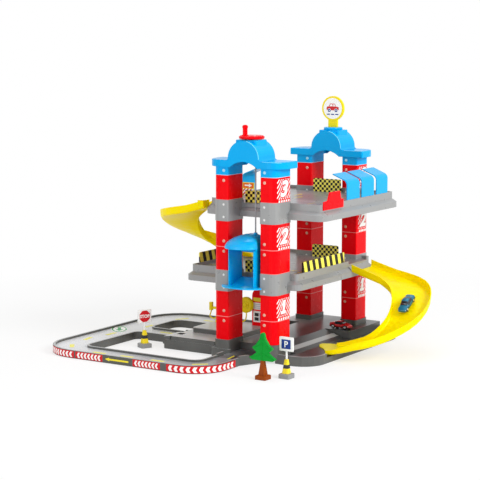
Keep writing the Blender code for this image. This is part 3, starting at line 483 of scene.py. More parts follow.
def lay(sheet, name, rule, body, strip=0.0):
    """Turn a sheet into a piece: cut it into strips, lay each point by the rule, ride a body."""
    bm, inks = sheet
    bmesh.ops.triangulate(bm, faces=bm.faces[:])
    if strip:
        us = [v.co.x for v in bm.verts]
        cut = math.ceil(min(us) / strip) * strip
        while cut < max(us):
            bmesh.ops.bisect_plane(bm, geom=bm.verts[:] + bm.edges[:] + bm.faces[:],
                                   plane_co=(cut, 0, 0), plane_no=(1, 0, 0))
            cut += strip
    for v in bm.verts:
        v.co = rule(v.co.x, v.co.y, v.co.z)
    return new_piece(name, mesh_of(bm, name), body, *[INKS[colour] for colour in inks])


def on_plane(origin, right, up):
    """Lay on a flat face: origin in mm, the face's right and up directions."""
    right, up = Vector(right).normalized(), Vector(up).normalized()
    out = right.cross(up)
    start = Vector(origin)
    return lambda u, v, lift: (start + right * u + up * v + out * lift) * MM


def onto_solid(node, origin, right, up, reach=40.0):
    """Drop each point onto a CAD solid along the sticker's own normal."""
    mesh = solids[node].data
    tree = BVHTree.FromPolygons([v.co for v in mesh.vertices],
                                [tuple(p.vertices) for p in mesh.polygons])
    right, up = Vector(right).normalized(), Vector(up).normalized()
    out = right.cross(up)
    start = Vector(origin)

    def rule(u, v, lift):
        point = (start + right * u + up * v + out * reach) * MM
        hit, normal, _, _ = tree.ray_cast(point, -out)
        if hit is None:
            return (start + right * u + up * v) * MM
        if normal.dot(out) < 0:
            normal = -normal
        return hit + normal * lift * MM
    return rule


print("sticker helpers ready")

# %% [markdown]
# Each solid gets the plastic of its real part. The CAD names say which is which, so a short
# table of name beginnings is enough, and the print shows that none is left out.

# %% Dress the solids
PLASTICS = (
    ("track_base", road_tile), ("tower_base", tower_tile), ("post_", red_abs),
    ("deck_", deck_grey), ("front_arch", blue_abs), ("rear_arch", blue_abs),
    ("lift_cabin", blue_thin), ("bay_canopy", blue_thin), ("winding_drum", drum_white),
    ("crank_knob", red_abs), ("corner_closure", red_abs), ("service_kiosk", red_abs),
    ("upper_ramp", slide_yellow), ("lower_ramp", slide_yellow), ("round_sign", part_yellow),
    ("fuel_", part_yellow), ("checker_board", checkered), ("lift_gate", gate_check),
    ("striped_barrier", barred), ("tree_foliage", leaf_green), ("tree_trunk", bark_brown),
    ("parking_sign", sign_white), ("stop_sign", sign_white))
undressed = []
for node in solids:
    found = [plastic for start, plastic in PLASTICS if node.startswith(start)]
    if found:
        dress(node, found[0])
    else:
        undressed.append(node)
print("dressed", len(solids) - len(undressed), "solids, still to do:", undressed)

# %% [markdown]
# Every shell is pinned to its collar by snap pegs with a round head. A head is a shallow dome
# with a small dimple from the ejector pin, turned from a profile by spinning it in mesh code.
# They could be one object each, but they never move apart from the posts, so one mesh holds all.
# The pegs are grey-white; the rose on the red shells and the pale blue on the blue collars are a
# painted reflection of the plastic round them.


# %% Snap pegs
def turned(profile, steps=20):
    """Spin a profile of (radius, height) in mm round Z."""
    bm = bmesh.new()
    rings = []
    for radius, height in profile:
        if radius == 0:
            rings.append([bm.verts.new((0, 0, height * MM))])
        else:
            rings.append([bm.verts.new((radius * MM * math.cos(math.tau * k / steps),
                                        radius * MM * math.sin(math.tau * k / steps),
                                        height * MM)) for k in range(steps)])
    for low, high in zip(rings, rings[1:]):
        for k in range(steps):
            j = (k + 1) % steps
            if len(low) == 1:
                bm.faces.new((low[0], high[k], high[j]))
            elif len(high) == 1:
                bm.faces.new((low[k], low[j], high[0]))
            else:
                bm.faces.new((low[k], low[j], high[j], high[k]))
    bmesh.ops.recalc_face_normals(bm, faces=bm.faces)
    for face in bm.faces:
        face.smooth = True
    return mesh_of(bm, "turned")


def gathered(name, mesh, places, plastic, body):
    """Copies of one mesh at many places, as one piece."""
    bm = bmesh.new()
    for place in places:
        copy = mesh.copy()
        copy.transform(place)
        bm.from_mesh(copy)
        bpy.data.meshes.remove(copy)
    return new_piece(name, mesh_of(bm, name), body, plastic)


peg = turned([(0, -1.0), (4.0, -1.0), (4.1, 0.2), (3.9, 0.9), (3.2, 1.5), (2.2, 1.85), (1.1, 1.95),
              (0.75, 1.6), (0, 1.55)])
SHELL_PEGS = (97.0, 123.0, 276.5, 302.5, 457.0)
PEG_HEIGHTS = (36.0, 97.0, 123.0, 183.3, 215.9, 276.5, 302.5, 364.0, 396.0, 457.0, 482.6)
PEG_X = 60.7
POST_X, POST_Y = 71, 208
POST_HALF_X, POST_HALF_Y = 23, 35
NEAR_FACE, FAR_FACE = POST_Y - POST_HALF_Y, POST_Y + POST_HALF_Y
peg_places = {"grey": [], "rose": [], "blue": []}
for side in (-1, 1):
    for face_y, outward in ((-FAR_FACE, -1), (-NEAR_FACE, 1), (NEAR_FACE, -1), (FAR_FACE, 1)):
        for height in PEG_HEIGHTS:
            spot = Vector((side * PEG_X, face_y, height)) * MM
            if height < 40 and abs(face_y) < 200:
                continue
            turn = Matrix.Rotation(math.radians(90 if outward < 0 else -90), 4, "X")
            # Pegs on red shells are rose and those on the blue collars pale blue: a painted
            # reflection.
            kind = "blue" if height > 480 else "rose" if height in SHELL_PEGS else "grey"
            peg_places[kind].append(Matrix.Translation(spot) @ turn)
for kind, plastic in (("grey", peg_grey), ("rose", peg_red_reflection_tint), ("blue", peg_blue_reflection_tint)):
    gathered("snap_pegs_" + kind, peg, peg_places[kind], plastic, "garage")
print("snap pegs:", {kind: len(places) for kind, places in peg_places.items()})

# %% [markdown]
# Where two shells meet, the upper one ends in a thin lip that catches the light, so every post
# shows pale lines round it. The lips are pale rose and pale blue rather than the shells' colour:
# that line of light is a painted highlight. A lip is a ring that follows the post's
# outline, 0.4 mm proud of it. A painted line would look flat from the side.


# %% Shell lips
POST_ROUND, POST_EDGE = 19.0, 2.5


def post_outline(side_x, side_y, grow):
    """The post's outline, grown by some mm. Only its outer corner has the wide round."""
    made = []
    for sx, sy, start in ((1, -1, -90), (1, 1, 0), (-1, 1, 90), (-1, -1, 180)):
        radius = POST_ROUND if (sx, sy) == (side_x, side_y) else POST_EDGE
        cx, cy = sx * (POST_HALF_X - radius), sy * (POST_HALF_Y - radius)
        for k in range(9):
            a = math.radians(start + 11.25 * k)
            made.append((side_x * POST_X + cx + (radius + grow) * math.cos(a),
                         side_y * POST_Y + cy + (radius + grow) * math.sin(a)))
    return made


def post_lip(side_x, side_y, middle, height):
    """A closed ring of small square section round one post."""
    inside, proud = -0.3, 0.4
    bm = bmesh.new()
    loops = [[bm.verts.new((x * MM, y * MM, (middle + z) * MM))
              for x, y in post_outline(side_x, side_y, grow)]
             for grow, z in ((inside, -height / 2), (proud, -height / 2), (proud, height / 2),
                             (inside, height / 2))]
    for low, high in zip(loops, loops[1:] + loops[:1]):
        for k in range(len(low)):
            j = (k + 1) % len(low)
            bm.faces.new((low[k], low[j], high[j], high[k]))
    bmesh.ops.recalc_face_normals(bm, faces=bm.faces)
    return mesh_of(bm, "post_lip")


# The lips' pale colours are a painted highlight on each shell join.
for kind, heights, plastic, tall in (("rose", (108.0, 288.0), lip_highlight_rose, 1.5),
                                    ("blue", (471.0,), lip_highlight_pale_blue, 1.3),
                                    ("grey", (227.9, 407.9), lip_highlight_rose, 0.8)):
    for side_x in (-1, 1):
        for side_y in (-1, 1):
            for k, middle in enumerate(heights):
                name = "shell_lip_%s_%s_%s_%d" % (kind, "right" if side_x > 0 else "left",
                                                  "rear" if side_y > 0 else "front", k)
                gathered(name, post_lip(side_x, side_y, middle, tall), [Matrix()], plastic,
                         "garage")
print("shell lips on four posts at 108, 228, 288, 408 and 471 mm")

# %% [markdown]
# The right-hand posts carry a level number: a white numeral on the red shell, in front of slanted
# white stripes, with a row of small plain marks below. Here the stripes are clipped outlines, the
# numeral is a text turned to a mesh, and a fatter red copy of it keeps the stripes off its edge.


# %% Level numbers
def one_strokes(tall, grow):
    """A bold slanted 1 as three convex strokes: stem, flag and foot."""
    h = tall / 2 + grow
    lean = 0.22

    def at(u, v):
        return u + lean * v, v
    stem = [at(-5.2 - grow, -h), at(5.2 + grow, -h), at(5.2 + grow, h), at(-5.2 - grow, h)]
    flag = [at(-13 - grow, h - 13 - grow), at(0, h - 13 - grow), at(0, h), at(-6 - grow, h)]
    foot = [at(-12 - grow, -h), at(12 + grow, -h), at(12 + grow, -h + 8 + 2 * grow),
            at(-12 - grow, -h + 8 + 2 * grow)]
    return stem, flag, foot


def level_sticker(level, shell, low_z, high_z, y_low, y_high):
    """A numeral on slanted stripes, above a band of plain marks, on a post's +X face."""
    sheet = new_sheet()
    width, height = y_high - y_low, high_z - low_z
    left, right, bottom, top = -width / 2, width / 2, -height / 2, height / 2
    band, pitch, stripe, lean = 9.5, 9.2, 3.4, 0.62
    start = left - height
    while start < right + height:
        bar = [(start, bottom + band), (start + stripe, bottom + band),
               (start + stripe + height * lean, top), (start + height * lean, top)]
        add_shape(sheet, clipped(bar, (left, bottom + band), (right, top)), "white", 0.12)
        start += pitch
    tall = (height - band - 6) * 0.86
    middle = (1.0, band / 2 + 1.0)
    if level == 1:
        for grow, colour, lift in ((2.6, "red", 0.18), (0.0, "white", 0.24)):
            for k, part in enumerate(one_strokes(tall, grow)):
                add_shape(sheet, [(middle[0] + u, middle[1] + v) for u, v in part], colour,
                          lift + 0.015 * k)
    else:
        for fat, colour, lift in ((4.4, "red", 0.18), (2.2, "white", 0.24)):
            add_letters(sheet, lettering(str(level), tall, fat, 0.25, 1.3), middle, colour, lift)
    for k in range(5):
        u = left + 7 + k * (width - 14) / 4
        mark = [(u - 4.2, bottom + 0.6), (u + 2.2, bottom + 0.6), (u + 4.2, bottom + 7.2),
                (u - 2.2, bottom + 7.2)]
        add_shape(sheet, clipped(mark, (left, bottom), (right, top)), "white", 0.14)
    centre = (POST_X + POST_HALF_X, (y_low + y_high) / 2, (low_z + high_z) / 2)
    rule = onto_solid(shell, centre, (0, 1, 0), (0, 0, 1))
    name = "level_%s_sticker_%s" % (level, "front" if y_low < 0 else "rear")
    return lay(sheet, name, rule, "garage", strip=3.0)


for corner, y_low, y_high in (("front", -233.0, -175.0), ("rear", 184.0, 233.0)):
    for level, node, low_z, high_z in ((3, "level_3", 406, 466), (2, "level_2_upper", 287, 345),
                                       (1, "level_1_upper", 108, 164)):
        level_sticker(level, "post_%s_right_%s" % (corner, node), low_z, high_z, y_low, y_high)
print("level numbers: 3, 2 and 1 on the front and rear right-hand posts")

# %% [markdown]
# The road tile's front wall is ringed by red stickers with white chevrons that point left, and a
# dark sticker with a yellow arrow. The wall runs round two corners, so a rule turns the distance
# along the wall into a place on its outline, and the same flat chevrons then bend with it.


# %% Kerb stickers
LEFT_X, LEFT_Y, LEFT_R = -397, -349, 108
RIGHT_X, RIGHT_Y, RIGHT_R = -60, -369, 88
STRAIGHT = RIGHT_X - LEFT_X


def along_kerb(u, v, lift):
    """A point u mm along the road tile's outer wall, v mm up, lift mm off it."""
    first, second = LEFT_R * math.pi / 2, RIGHT_R * math.pi / 2
    if u < first:
        turn = math.pi + u / LEFT_R
        x = LEFT_X + (LEFT_R + lift) * math.cos(turn)
        y = LEFT_Y + (LEFT_R + lift) * math.sin(turn)
    elif u < first + STRAIGHT:
        x, y = LEFT_X + u - first, LEFT_Y - LEFT_R - lift
    elif u < first + STRAIGHT + second:
        turn = 1.5 * math.pi + (u - first - STRAIGHT) / RIGHT_R
        x = RIGHT_X + (RIGHT_R + lift) * math.cos(turn)
        y = RIGHT_Y + (RIGHT_R + lift) * math.sin(turn)
    else:
        x, y = RIGHT_X + RIGHT_R + lift, RIGHT_Y + u - first - STRAIGHT - second
    return Vector((x, y, v)) * MM


def kerb_sticker(name, start, stop, count, margin):
    """A red strip with white chevrons, each of two slanted arms that meet at mid height."""
    sheet = new_sheet()
    add_shape(sheet, panel(start, 1.0, stop, 19.2), "red", 0.15)
    add_shape(sheet, panel(start, 1.0, stop, 2.4), "deep_red", 0.2)
    pitch = (stop - start - 2 * margin) / count
    wide, rise, mid, slant = pitch * 0.52, 7.0, 10, 0.62
    for k in range(count):
        tip = start + margin + k * pitch
        for sign in (-1, 1):
            arm = [(tip, mid), (tip + wide, mid), (tip + wide + rise * slant, mid + sign * rise),
                   (tip + rise * slant, mid + sign * rise)]
            add_shape(sheet, arm if sign > 0 else arm[::-1], "white", 0.24)
    return lay(sheet, name, along_kerb, "garage", strip=6.0)


kerb_sticker("kerb_chevrons_left_corner", 12, 187, 14, 4.0)
kerb_sticker("kerb_chevrons_left", 191.5, 278.5, 7, 5.0)
kerb_sticker("kerb_chevrons_middle", 373, 457, 7, 5.0)
kerb_sticker("kerb_chevrons_right_corner", 475.5, 688, 12, 6.0)
arrow_sheet = new_sheet()
add_shape(arrow_sheet, panel(281, 1.0, 369, 19.2), "grey", 0.15)
add_shape(arrow_sheet, panel(300, 8.0, 360, 12.4), "yellow", 0.22)
add_shape(arrow_sheet, [(286, 10.2), (300, 5.6), (300, 14.8)], "yellow", 0.22)
lay(arrow_sheet, "kerb_arrow", along_kerb, "garage", strip=6.0)
print("kerb stickers laid along", round((LEFT_R + RIGHT_R) * math.pi / 2 + STRAIGHT), "mm of wall")

# %% [markdown]
# On the road floor are pale yellow lane dashes and an oval with a green ring and arrow. On the
# real toy they are stickers pressed flat on the floor, so they are laid on a plane there. The
# decks carry yellow bay lines and arrows in the same way.


# %% Road and deck markings
ROAD_Z, DECK_2_Z, DECK_3_Z = 15, 215, 395


def dash(sheet, x, y, length, width, heading, colour="road_yellow", lift=0.15):
    c, s = math.cos(math.radians(heading)), math.sin(math.radians(heading))
    corners = [(-length / 2, -width / 2), (length / 2, -width / 2), (length / 2, width / 2),
               (-length / 2, width / 2)]
    add_shape(sheet, [(x + a * c - b * s, y + a * s + b * c) for a, b in corners], colour, lift)


def floor_arrow(sheet, x, y, length, heading, colour, lift=0.15):
    c, s = math.cos(math.radians(heading)), math.sin(math.radians(heading))

    def at(a, b):
        return (x + a * c - b * s, y + a * s + b * c)
    half = length / 2
    add_shape(sheet, [at(-half, -1.8), at(half * 0.2, -1.8), at(half * 0.2, 1.8),
                      at(-half, 1.8)], colour, lift)
    add_shape(sheet, [at(half * 0.2, -6.0), at(half, 0), at(half * 0.2, 6.0)], colour, lift)


road = new_sheet()
for x, y, heading in ((-464, -291, -78), (-439, -390, -52), (-323, -424, 0), (-237, -422, 0),
                      (-142, -422, 0), (-29, -399, 38), (-430, -60, 90), (-452, -205, 90),
                      (-334, -112, 0), (-415, 80, 55), (-330, 95, 0), (-220, 95, 0)):
    dash(road, x, y, 40, 12, heading)
dash(road, -9, -290, 44, 5, 100, "yellow")
OVAL = (-474.0, -138.0, math.radians(-53))


def in_oval(u, v):
    """A point of the oval sticker, u mm along it and v mm across."""
    c, s = math.cos(OVAL[2]), math.sin(OVAL[2])
    return OVAL[0] + u * c - v * s, OVAL[1] + u * s + v * c


for share, colour, lift in ((1.0, "white", 0.12), (0.93, "green", 0.17), (0.78, "white", 0.22)):
    add_shape(road, [in_oval(u * share, v * share) for u, v in ring(0, 0, 44, 22)], colour, lift)
add_shape(road, [in_oval(u, v) for u, v in panel(-24, -4.5, 6, 4.5)], "green", 0.27)
add_shape(road, [in_oval(u, v) for u, v in ((5, -11), (29, 0), (5, 11))], "green", 0.27)
lay(road, "road_markings", on_plane((0, 0, ROAD_Z), (1, 0, 0), (0, 1, 0)), "garage")

deck_3 = new_sheet()
for y in (-44, 26, 104, 172):
    dash(deck_3, 160, y, 46, 2.4, 0, "yellow")
for y in (-8, 64, 140):
    floor_arrow(deck_3, 118, y, 34, 0, "yellow")
floor_arrow(deck_3, 10, 10, 46, 90, "yellow")
floor_arrow(deck_3, -22, 62, 46, 90, "yellow")
dash(deck_3, -12, 92, 60, 2.0, 12, "white")
dash(deck_3, 60, -60, 110, 2.0, 8, "white")
dash(deck_3, 110, -110, 60, 2.2, 90, "yellow")
lay(deck_3, "deck_3_markings", on_plane((0, 0, DECK_3_Z), (1, 0, 0), (0, 1, 0)), "garage")

deck_2 = new_sheet()
floor_arrow(deck_2, 45, -90, 46, 20, "yellow")
floor_arrow(deck_2, 82, -112, 40, 90, "yellow")
floor_arrow(deck_2, 0, 60, 46, 90, "yellow")
floor_arrow(deck_2, -120, 60, 46, 180, "yellow")
for y in (-110, -40, 30):
    dash(deck_2, -172, y, 44, 2.4, 0, "yellow")
lay(deck_2, "deck_2_markings", on_plane((0, 0, DECK_2_Z), (1, 0, 0), (0, 1, 0)), "garage")
print("road and deck markings done")

# %% [markdown]
# The loose signs: a white plate with a printed face, a white pole and a banded cone on a grey
# foot. The cones are one moulding, printed in bands, so their material changes with height.


# %% Road signs
def banded_cone(name):
    made, tree = new_material(name)
    where = add_node(tree, "TexCoord").outputs["Object"]
    height = add_node(tree, "SeparateXYZ", Vector=where).outputs[2]
    scaled = add_node(tree, "MapRange", Value=height, From_Min=0.0, From_Max=0.046)
    bands = add_node(tree, "ValToRGB", Fac=scaled.outputs[0])
    ramp = bands.color_ramp
    ramp.interpolation = "CONSTANT"
    foot, lowest = ramp.elements
    foot.color, foot.position = linear("#8C8D8D"), 0.0
    lowest.color, lowest.position = linear("#F4DA00"), 0.255
    for position, colour in ((0.52, "#141414"), (0.72, "#F4DA00")):
        ramp.elements.new(position).color = linear(colour)
    rounded = add_node(tree, "Bevel", samples=4, Radius=0.6 * MM)
    skin = add_node(tree, "TexNoise", Vector=where, Scale=every_mm(1.0), Detail=2.0)
    bump = add_node(tree, "Bump", Height=skin.outputs[0], Strength=0.3, Distance=0.04 * MM,
                    Normal=rounded.outputs[0])
    shader = add_node(tree, "BsdfPrincipled", Base_Color=bands.outputs[0], Roughness=0.4,
                      IOR=1.5, Normal=bump.outputs[0])
    add_node(tree, "OutputMaterial", Surface=shader.outputs[0])
    return made


cone_plastic = banded_cone("polystyrene moulded cone with printed bands")
for node in ("parking_sign_cone", "stop_sign_cone"):
    dress(node, cone_plastic)


def solid_outline(name, outline, rule, low, high, plastic, body):
    """A flat outline in mm made a solid card, from low to high above the rule's face."""
    bm = bmesh.new()
    back = [bm.verts.new(rule(u, v, low)) for u, v in outline]
    front = [bm.verts.new(rule(u, v, high)) for u, v in outline]
    bm.faces.new(back[::-1])
    bm.faces.new(front)
    for k in range(len(outline)):
        j = (k + 1) % len(outline)
        bm.faces.new((back[k], back[j], front[j], front[k]))
    bmesh.ops.recalc_face_normals(bm, faces=bm.faces)
    return new_piece(name, mesh_of(bm, name), body, plastic)


CARD = 1.15
CARD_OUTLINE = panel(-18.5, -16.5, 18.5, 16.5, 2.0)
CARD_Z = 83.5
parking = new_sheet()
add_shape(parking, panel(-13, -11.5, 13, 11.5, 1.5), "blue", CARD + 0.1)
add_letters(parking, lettering("P", 15.5, 0.4), (0.3, 0), "white", CARD + 0.2)
for side, out in ((1, -1.5), (-1, 1.5)):
    copy = (parking[0].copy(), list(parking[1]))
    which = "front" if side > 0 else "back"
    rule = on_plane((196, -358 + out, CARD_Z), (side, 0, 0), (0, 0, 1))
    solid_outline("parking_card_" + which, CARD_OUTLINE, rule, 0.0, CARD, sign_white,
                  "parking_sign_stand")
    lay(copy, "parking_face_" + which, rule, "parking_sign_stand")
parking[0].free()

STOP_TURN = math.radians(62.0)
stop_right = Vector((math.cos(STOP_TURN), math.sin(STOP_TURN), 0))
stop = new_sheet()
eight = [(16.4 * math.cos(math.radians(22.5 + 45 * k)),
          16.4 * math.sin(math.radians(22.5 + 45 * k))) for k in range(8)]
add_shape(stop, eight, "red", CARD + 0.1)
add_letters(stop, lettering("STOP", 8.6, 0.35), (0, 0), "white", CARD + 0.2)
for side in (1, -1):
    outward = stop_right.cross(Vector((0, 0, 1))) * side
    origin = Vector((-312, -243, CARD_Z)) + outward * 1.5
    copy = (stop[0].copy(), list(stop[1]))
    which = "front" if side > 0 else "back"
    rule = on_plane(origin, stop_right * side, (0, 0, 1))
    solid_outline("stop_card_" + which, CARD_OUTLINE, rule, 0.0, CARD, sign_white,
                  "stop_sign_stand")
    lay(copy, "stop_face_" + which, rule, "stop_sign_stand")
stop[0].free()
print("signs: P and STOP plates with printed faces on both sides")

# %% [markdown]
# The high round sign is a yellow ring round a white printed disc. The disc shows a plain red
# car above a dashed blue road, drawn as flat outlines on both sides.


# %% Round sign face
def car_sign(sheet):
    """A plain car seen from the side, nose to the right, above three dashes of road."""
    add_shape(sheet, ring(0, 0, 28.6), "white", 0.12)
    add_shape(sheet, panel(-19, -5, 19, 5, 3.2), "red", 0.18)
    add_shape(sheet, [(-13, 4), (12, 4), (6.5, 13), (-8, 13)], "red", 0.2)
    add_shape(sheet, [(-9.8, 5.6), (-0.6, 5.6), (-0.6, 11.2), (-6.8, 11.2)], "white", 0.24)
    add_shape(sheet, [(1.4, 5.6), (9.0, 5.6), (5.6, 11.2), (1.4, 11.2)], "white", 0.24)
    for x in (-10.5, 10.5):
        add_shape(sheet, ring(x, -5.5, 5.4, steps=24), "white", 0.22)
        add_shape(sheet, ring(x, -5.5, 4.4, steps=24), "blue", 0.26)
        add_shape(sheet, ring(x, -5.5, 1.6, steps=16), "white", 0.3)
    for x in (-18, -5, 8):
        add_shape(sheet, panel(x, -17.5, x + 10, -14.5), "blue", 0.18)


for side, y in ((1, 204.5), (-1, 211.5)):
    disc = new_sheet()
    car_sign(disc)
    lay(disc, "round_sign_face_%s" % ("front" if side > 0 else "back"),
        on_plane((0, y, 619), (side, 0, 0), (0, 0, 1)), "garage")
print("round sign: white disc 57 mm across in a 67 mm yellow ring")

# %% [markdown]
# Behind the lift on the top deck stands a small board: a white arrow on orange, over red and
# white stripes. It is a thin plate with a printed face, and each stripe is a slanted bar that is
# cut to the edge of the face.


# %% Arrow board
def plate_piece(name, low, high, plastic, body, bevel_mm=0.6):
    """A thin box with rounded edges, from its low to its high corner in mm."""
    bm = bmesh.new()
    bmesh.ops.create_cube(bm, size=1.0)
    size = [b - a for a, b in zip(low, high)]
    middle = [(a + b) / 2 for a, b in zip(low, high)]
    for v in bm.verts:
        v.co = Vector([(c * s + m) * MM for c, s, m in zip(v.co, size, middle)])
    bmesh.ops.bevel(bm, geom=bm.edges[:], offset=bevel_mm * MM, segments=2, affect="EDGES",
                    profile=0.5)
    return new_piece(name, mesh_of(bm, name), body, plastic)


plate_piece("arrow_board", (-137, -36, 395.2), (-101, -33.6, 431), part_yellow, "garage")
board = new_sheet()
add_shape(board, panel(-16.5, 3, 16.5, 16.5, 1.0), "orange", 0.12)
add_shape(board, panel(-11, 8.2, 2, 11.8), "white", 0.18)
add_shape(board, [(2, 4.8), (12, 10), (2, 15.2)], "white", 0.18)
for start in range(-40, 20, 10):
    bar = [(start, -16.5), (start + 5, -16.5), (start + 23, 1.5), (start + 18, 1.5)]
    add_shape(board, clipped(bar, (-16.5, -16.5), (16.5, 1.5)), "red", 0.18)
add_shape(board, panel(-16.5, -16.5, 16.5, 1.5), "white", 0.12)
lay(board, "arrow_board_face", on_plane((-119, -36, 413), (1, 0, 0), (0, 0, 1)), "garage")
print("arrow board on the top deck, beside the left canopy")

# %% [markdown]
# The lift hangs on a twisted nylon string that winds on the white drum inside the front arch.
# The string's twist is three strands at a 4 mm lay: a slanted stripe pattern round the string
# draws them. The hung length is a tube with a ring of points at each end and none between. A few
# turns of string on the drum are one long helix.


# %% Lift string
def string_material(name, middle_x, middle_y, strands=3.0, lay_mm=4.0):
    """Strands that wind round a vertical string, one turn in each lay."""
    made, tree = new_material(name)
    where = add_node(tree, "TexCoord").outputs["Object"]
    centred = add_node(tree, "VectorMath", operation="SUBTRACT", i0=where,
                       i1=(middle_x * MM, middle_y * MM, 0.0))
    split = add_node(tree, "SeparateXYZ", Vector=centred.outputs[0])
    angle = add_node(tree, "Math", operation="ARCTAN2", i0=split.outputs[1], i1=split.outputs[0])
    wound = add_node(tree, "Math", operation="MULTIPLY_ADD", i0=split.outputs[2],
                     i1=math.tau * every_mm(lay_mm), i2=angle.outputs[0])
    phase = add_node(tree, "Math", operation="MULTIPLY", i0=wound.outputs[0], i1=strands)
    strand = add_node(tree, "Math", operation="SINE", i0=phase.outputs[0])
    shade = add_node(tree, "MapRange", Value=strand.outputs[0], From_Min=-1.0, From_Max=1.0)
    # Pale on each strand's crown and darker in the grooves between strands: painted shade.
    tone = add_node(tree, "Mix", data_type="RGBA", i0=shade.outputs[0], i6=linear("#8E8F90"),
                    i7=linear("#C4C5C6"))
    bump = add_node(tree, "Bump", Height=shade.outputs[0], Strength=0.6, Distance=0.3 * MM)
    shader = add_node(tree, "BsdfPrincipled", Base_Color=tone.outputs[2], Roughness=0.55,
                      IOR=1.53, Normal=bump.outputs[0])
    shader.inputs["Sheen Weight"].default_value = 0.15
    add_node(tree, "OutputMaterial", Surface=shader.outputs[0])
    return made


string_hung = string_material("nylon twisted string", 12.0, -207.0)


def hung_string(name, finish):
    """A straight tube in place of the CAD cord."""
    low, high = (Vector(corner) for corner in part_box("lift_cord"))
    middle = (low + high) / 2
    radius = (high.x - low.x) / 2
    bm = bmesh.new()
    bmesh.ops.create_cone(bm, cap_ends=True, segments=16, radius1=radius, radius2=radius,
                          depth=high.z - low.z, matrix=Matrix.Translation(middle))
    for face in bm.faces:
        face.smooth = len(face.verts) == 4
    piece = new_piece(name, mesh_of(bm, name), None, finish)
    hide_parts("lift_cord")
    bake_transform(piece)


hung_string("string_to_lift", string_hung)


def tube_piece(name, points, radius, plastic, body, closed=False):
    """A round tube through points in mm."""
    curve = bpy.data.curves.new(name, "CURVE")
    curve.dimensions = "3D"
    curve.bevel_depth = radius * MM
    curve.bevel_resolution = 3
    curve.use_fill_caps = True
    spline = curve.splines.new("POLY")
    spline.points.add(len(points) - 1)
    for point, place in zip(spline.points, points):
        point.co = (place[0] * MM, place[1] * MM, place[2] * MM, 1.0)
    spline.use_cyclic_u = closed
    holder = bpy.data.objects.new(name, curve)
    bpy.context.scene.collection.objects.link(holder)
    graph = bpy.context.evaluated_depsgraph_get()
    mesh = bpy.data.meshes.new_from_object(holder.evaluated_get(graph))
    bpy.data.objects.remove(holder)
    for face in mesh.polygons:
        face.use_smooth = True
    return new_piece(name, mesh, body, plastic)


TURNS, STEPS, WOUND_R, DRUM_Y = 5, 24, 13.2, -207
helix = []
for k in range(STEPS * TURNS + 1):
    a = math.tau * k / STEPS
    helix.append((WOUND_R * math.cos(a), DRUM_Y + WOUND_R * math.sin(a),
                  536.6 + 8.4 * k / (STEPS * TURNS)))
tube_piece("string_on_drum", helix, 1.1, string_hung, "crank")
print("string: hung length and", TURNS, "turns on the drum")

# %% [markdown]
# The fuel stand is a yellow post with a hose on each side and a round reel. It gets a printed
# price panel with plain bars, and two rings and a hub on the reel. The red kiosk beside it has a
# yellow header, white panels and dark windows.

# %% Fuel stand and kiosk
pump_face = new_sheet()
add_shape(pump_face, panel(-17, -30, 17, 22, 2), "white", 0.12)
add_shape(pump_face, panel(-13, 4, 13, 18, 1), "black", 0.18)
for k in range(4):
    add_shape(pump_face, panel(-9.5 + k * 5.4, 6.5, -6.3 + k * 5.4, 15.5), "orange", 0.24)
for row in range(3):
    add_shape(pump_face, panel(-13, -6 - row * 8, 13, -3.4 - row * 8), "red", 0.18)
lay(pump_face, "fuel_pump_face", on_plane((-180, -52, 96), (1, 0, 0), (0, 0, 1)), "garage")
for name, radius in (("reel_rim", 18.2), ("reel_groove", 9.5)):
    loop = [(-119 + radius * math.cos(math.tau * k / 40), -50.6,
             103 + radius * math.sin(math.tau * k / 40)) for k in range(40)]
    tube_piece(name, loop, 1.3, part_yellow, "garage", closed=True)
hub = turned([(0, -1.0), (5.2, -1.0), (5.2, 1.6), (4.2, 2.6), (0, 3.0)])
gathered("reel_hub", hub, [Matrix.Translation(Vector((-119, -50, 103)) * MM)
                           @ Matrix.Rotation(math.radians(90), 4, "X")], part_yellow, "garage")
kiosk_face = new_sheet()
add_shape(kiosk_face, panel(-15, 24, 15, 34, 1), "yellow", 0.12)
add_shape(kiosk_face, panel(-15, 2, 15, 21, 1), "white", 0.12)
add_shape(kiosk_face, panel(-15, -32, 15, -2, 1), "white", 0.12)
for low in (-28, -16):
    add_shape(kiosk_face, panel(-11, low, 2, low + 9), "black", 0.18)
add_shape(kiosk_face, panel(5, -28, 11, -7), "blue", 0.18)
for k in range(3):
    add_shape(kiosk_face, panel(-11, 5 + k * 5, 11, 7.4 + k * 5), "silver", 0.18)
lay(kiosk_face, "service_kiosk_face", on_plane((-85, -40, 90), (1, 0, 0), (0, 0, 1)), "garage")
side_face = new_sheet()
add_shape(side_face, panel(-8, 20, 8, 32, 1), "yellow", 0.12)
add_shape(side_face, panel(-8, -30, 8, 16, 1), "white", 0.12)
for low in (-25, -10):
    add_shape(side_face, panel(-5, low, 5, low + 9), "black", 0.18)
lay(side_face, "service_kiosk_side", on_plane((-66, -29, 88), (0, 1, 0), (0, 0, 1)), "garage")
print("fuel stand and kiosk have their panels")

# %% [markdown]
# The two cars are die-cast zinc with glossy enamel, dark glazing in one moulding, and black
# wheels with bright printed hubs. Enamel is a smooth coat over fine metallic flakes, so its
# shader has a coat over a slightly metallic base. The trim is laid out in the car's own axes,
# nose along +X, and then placed with the car.


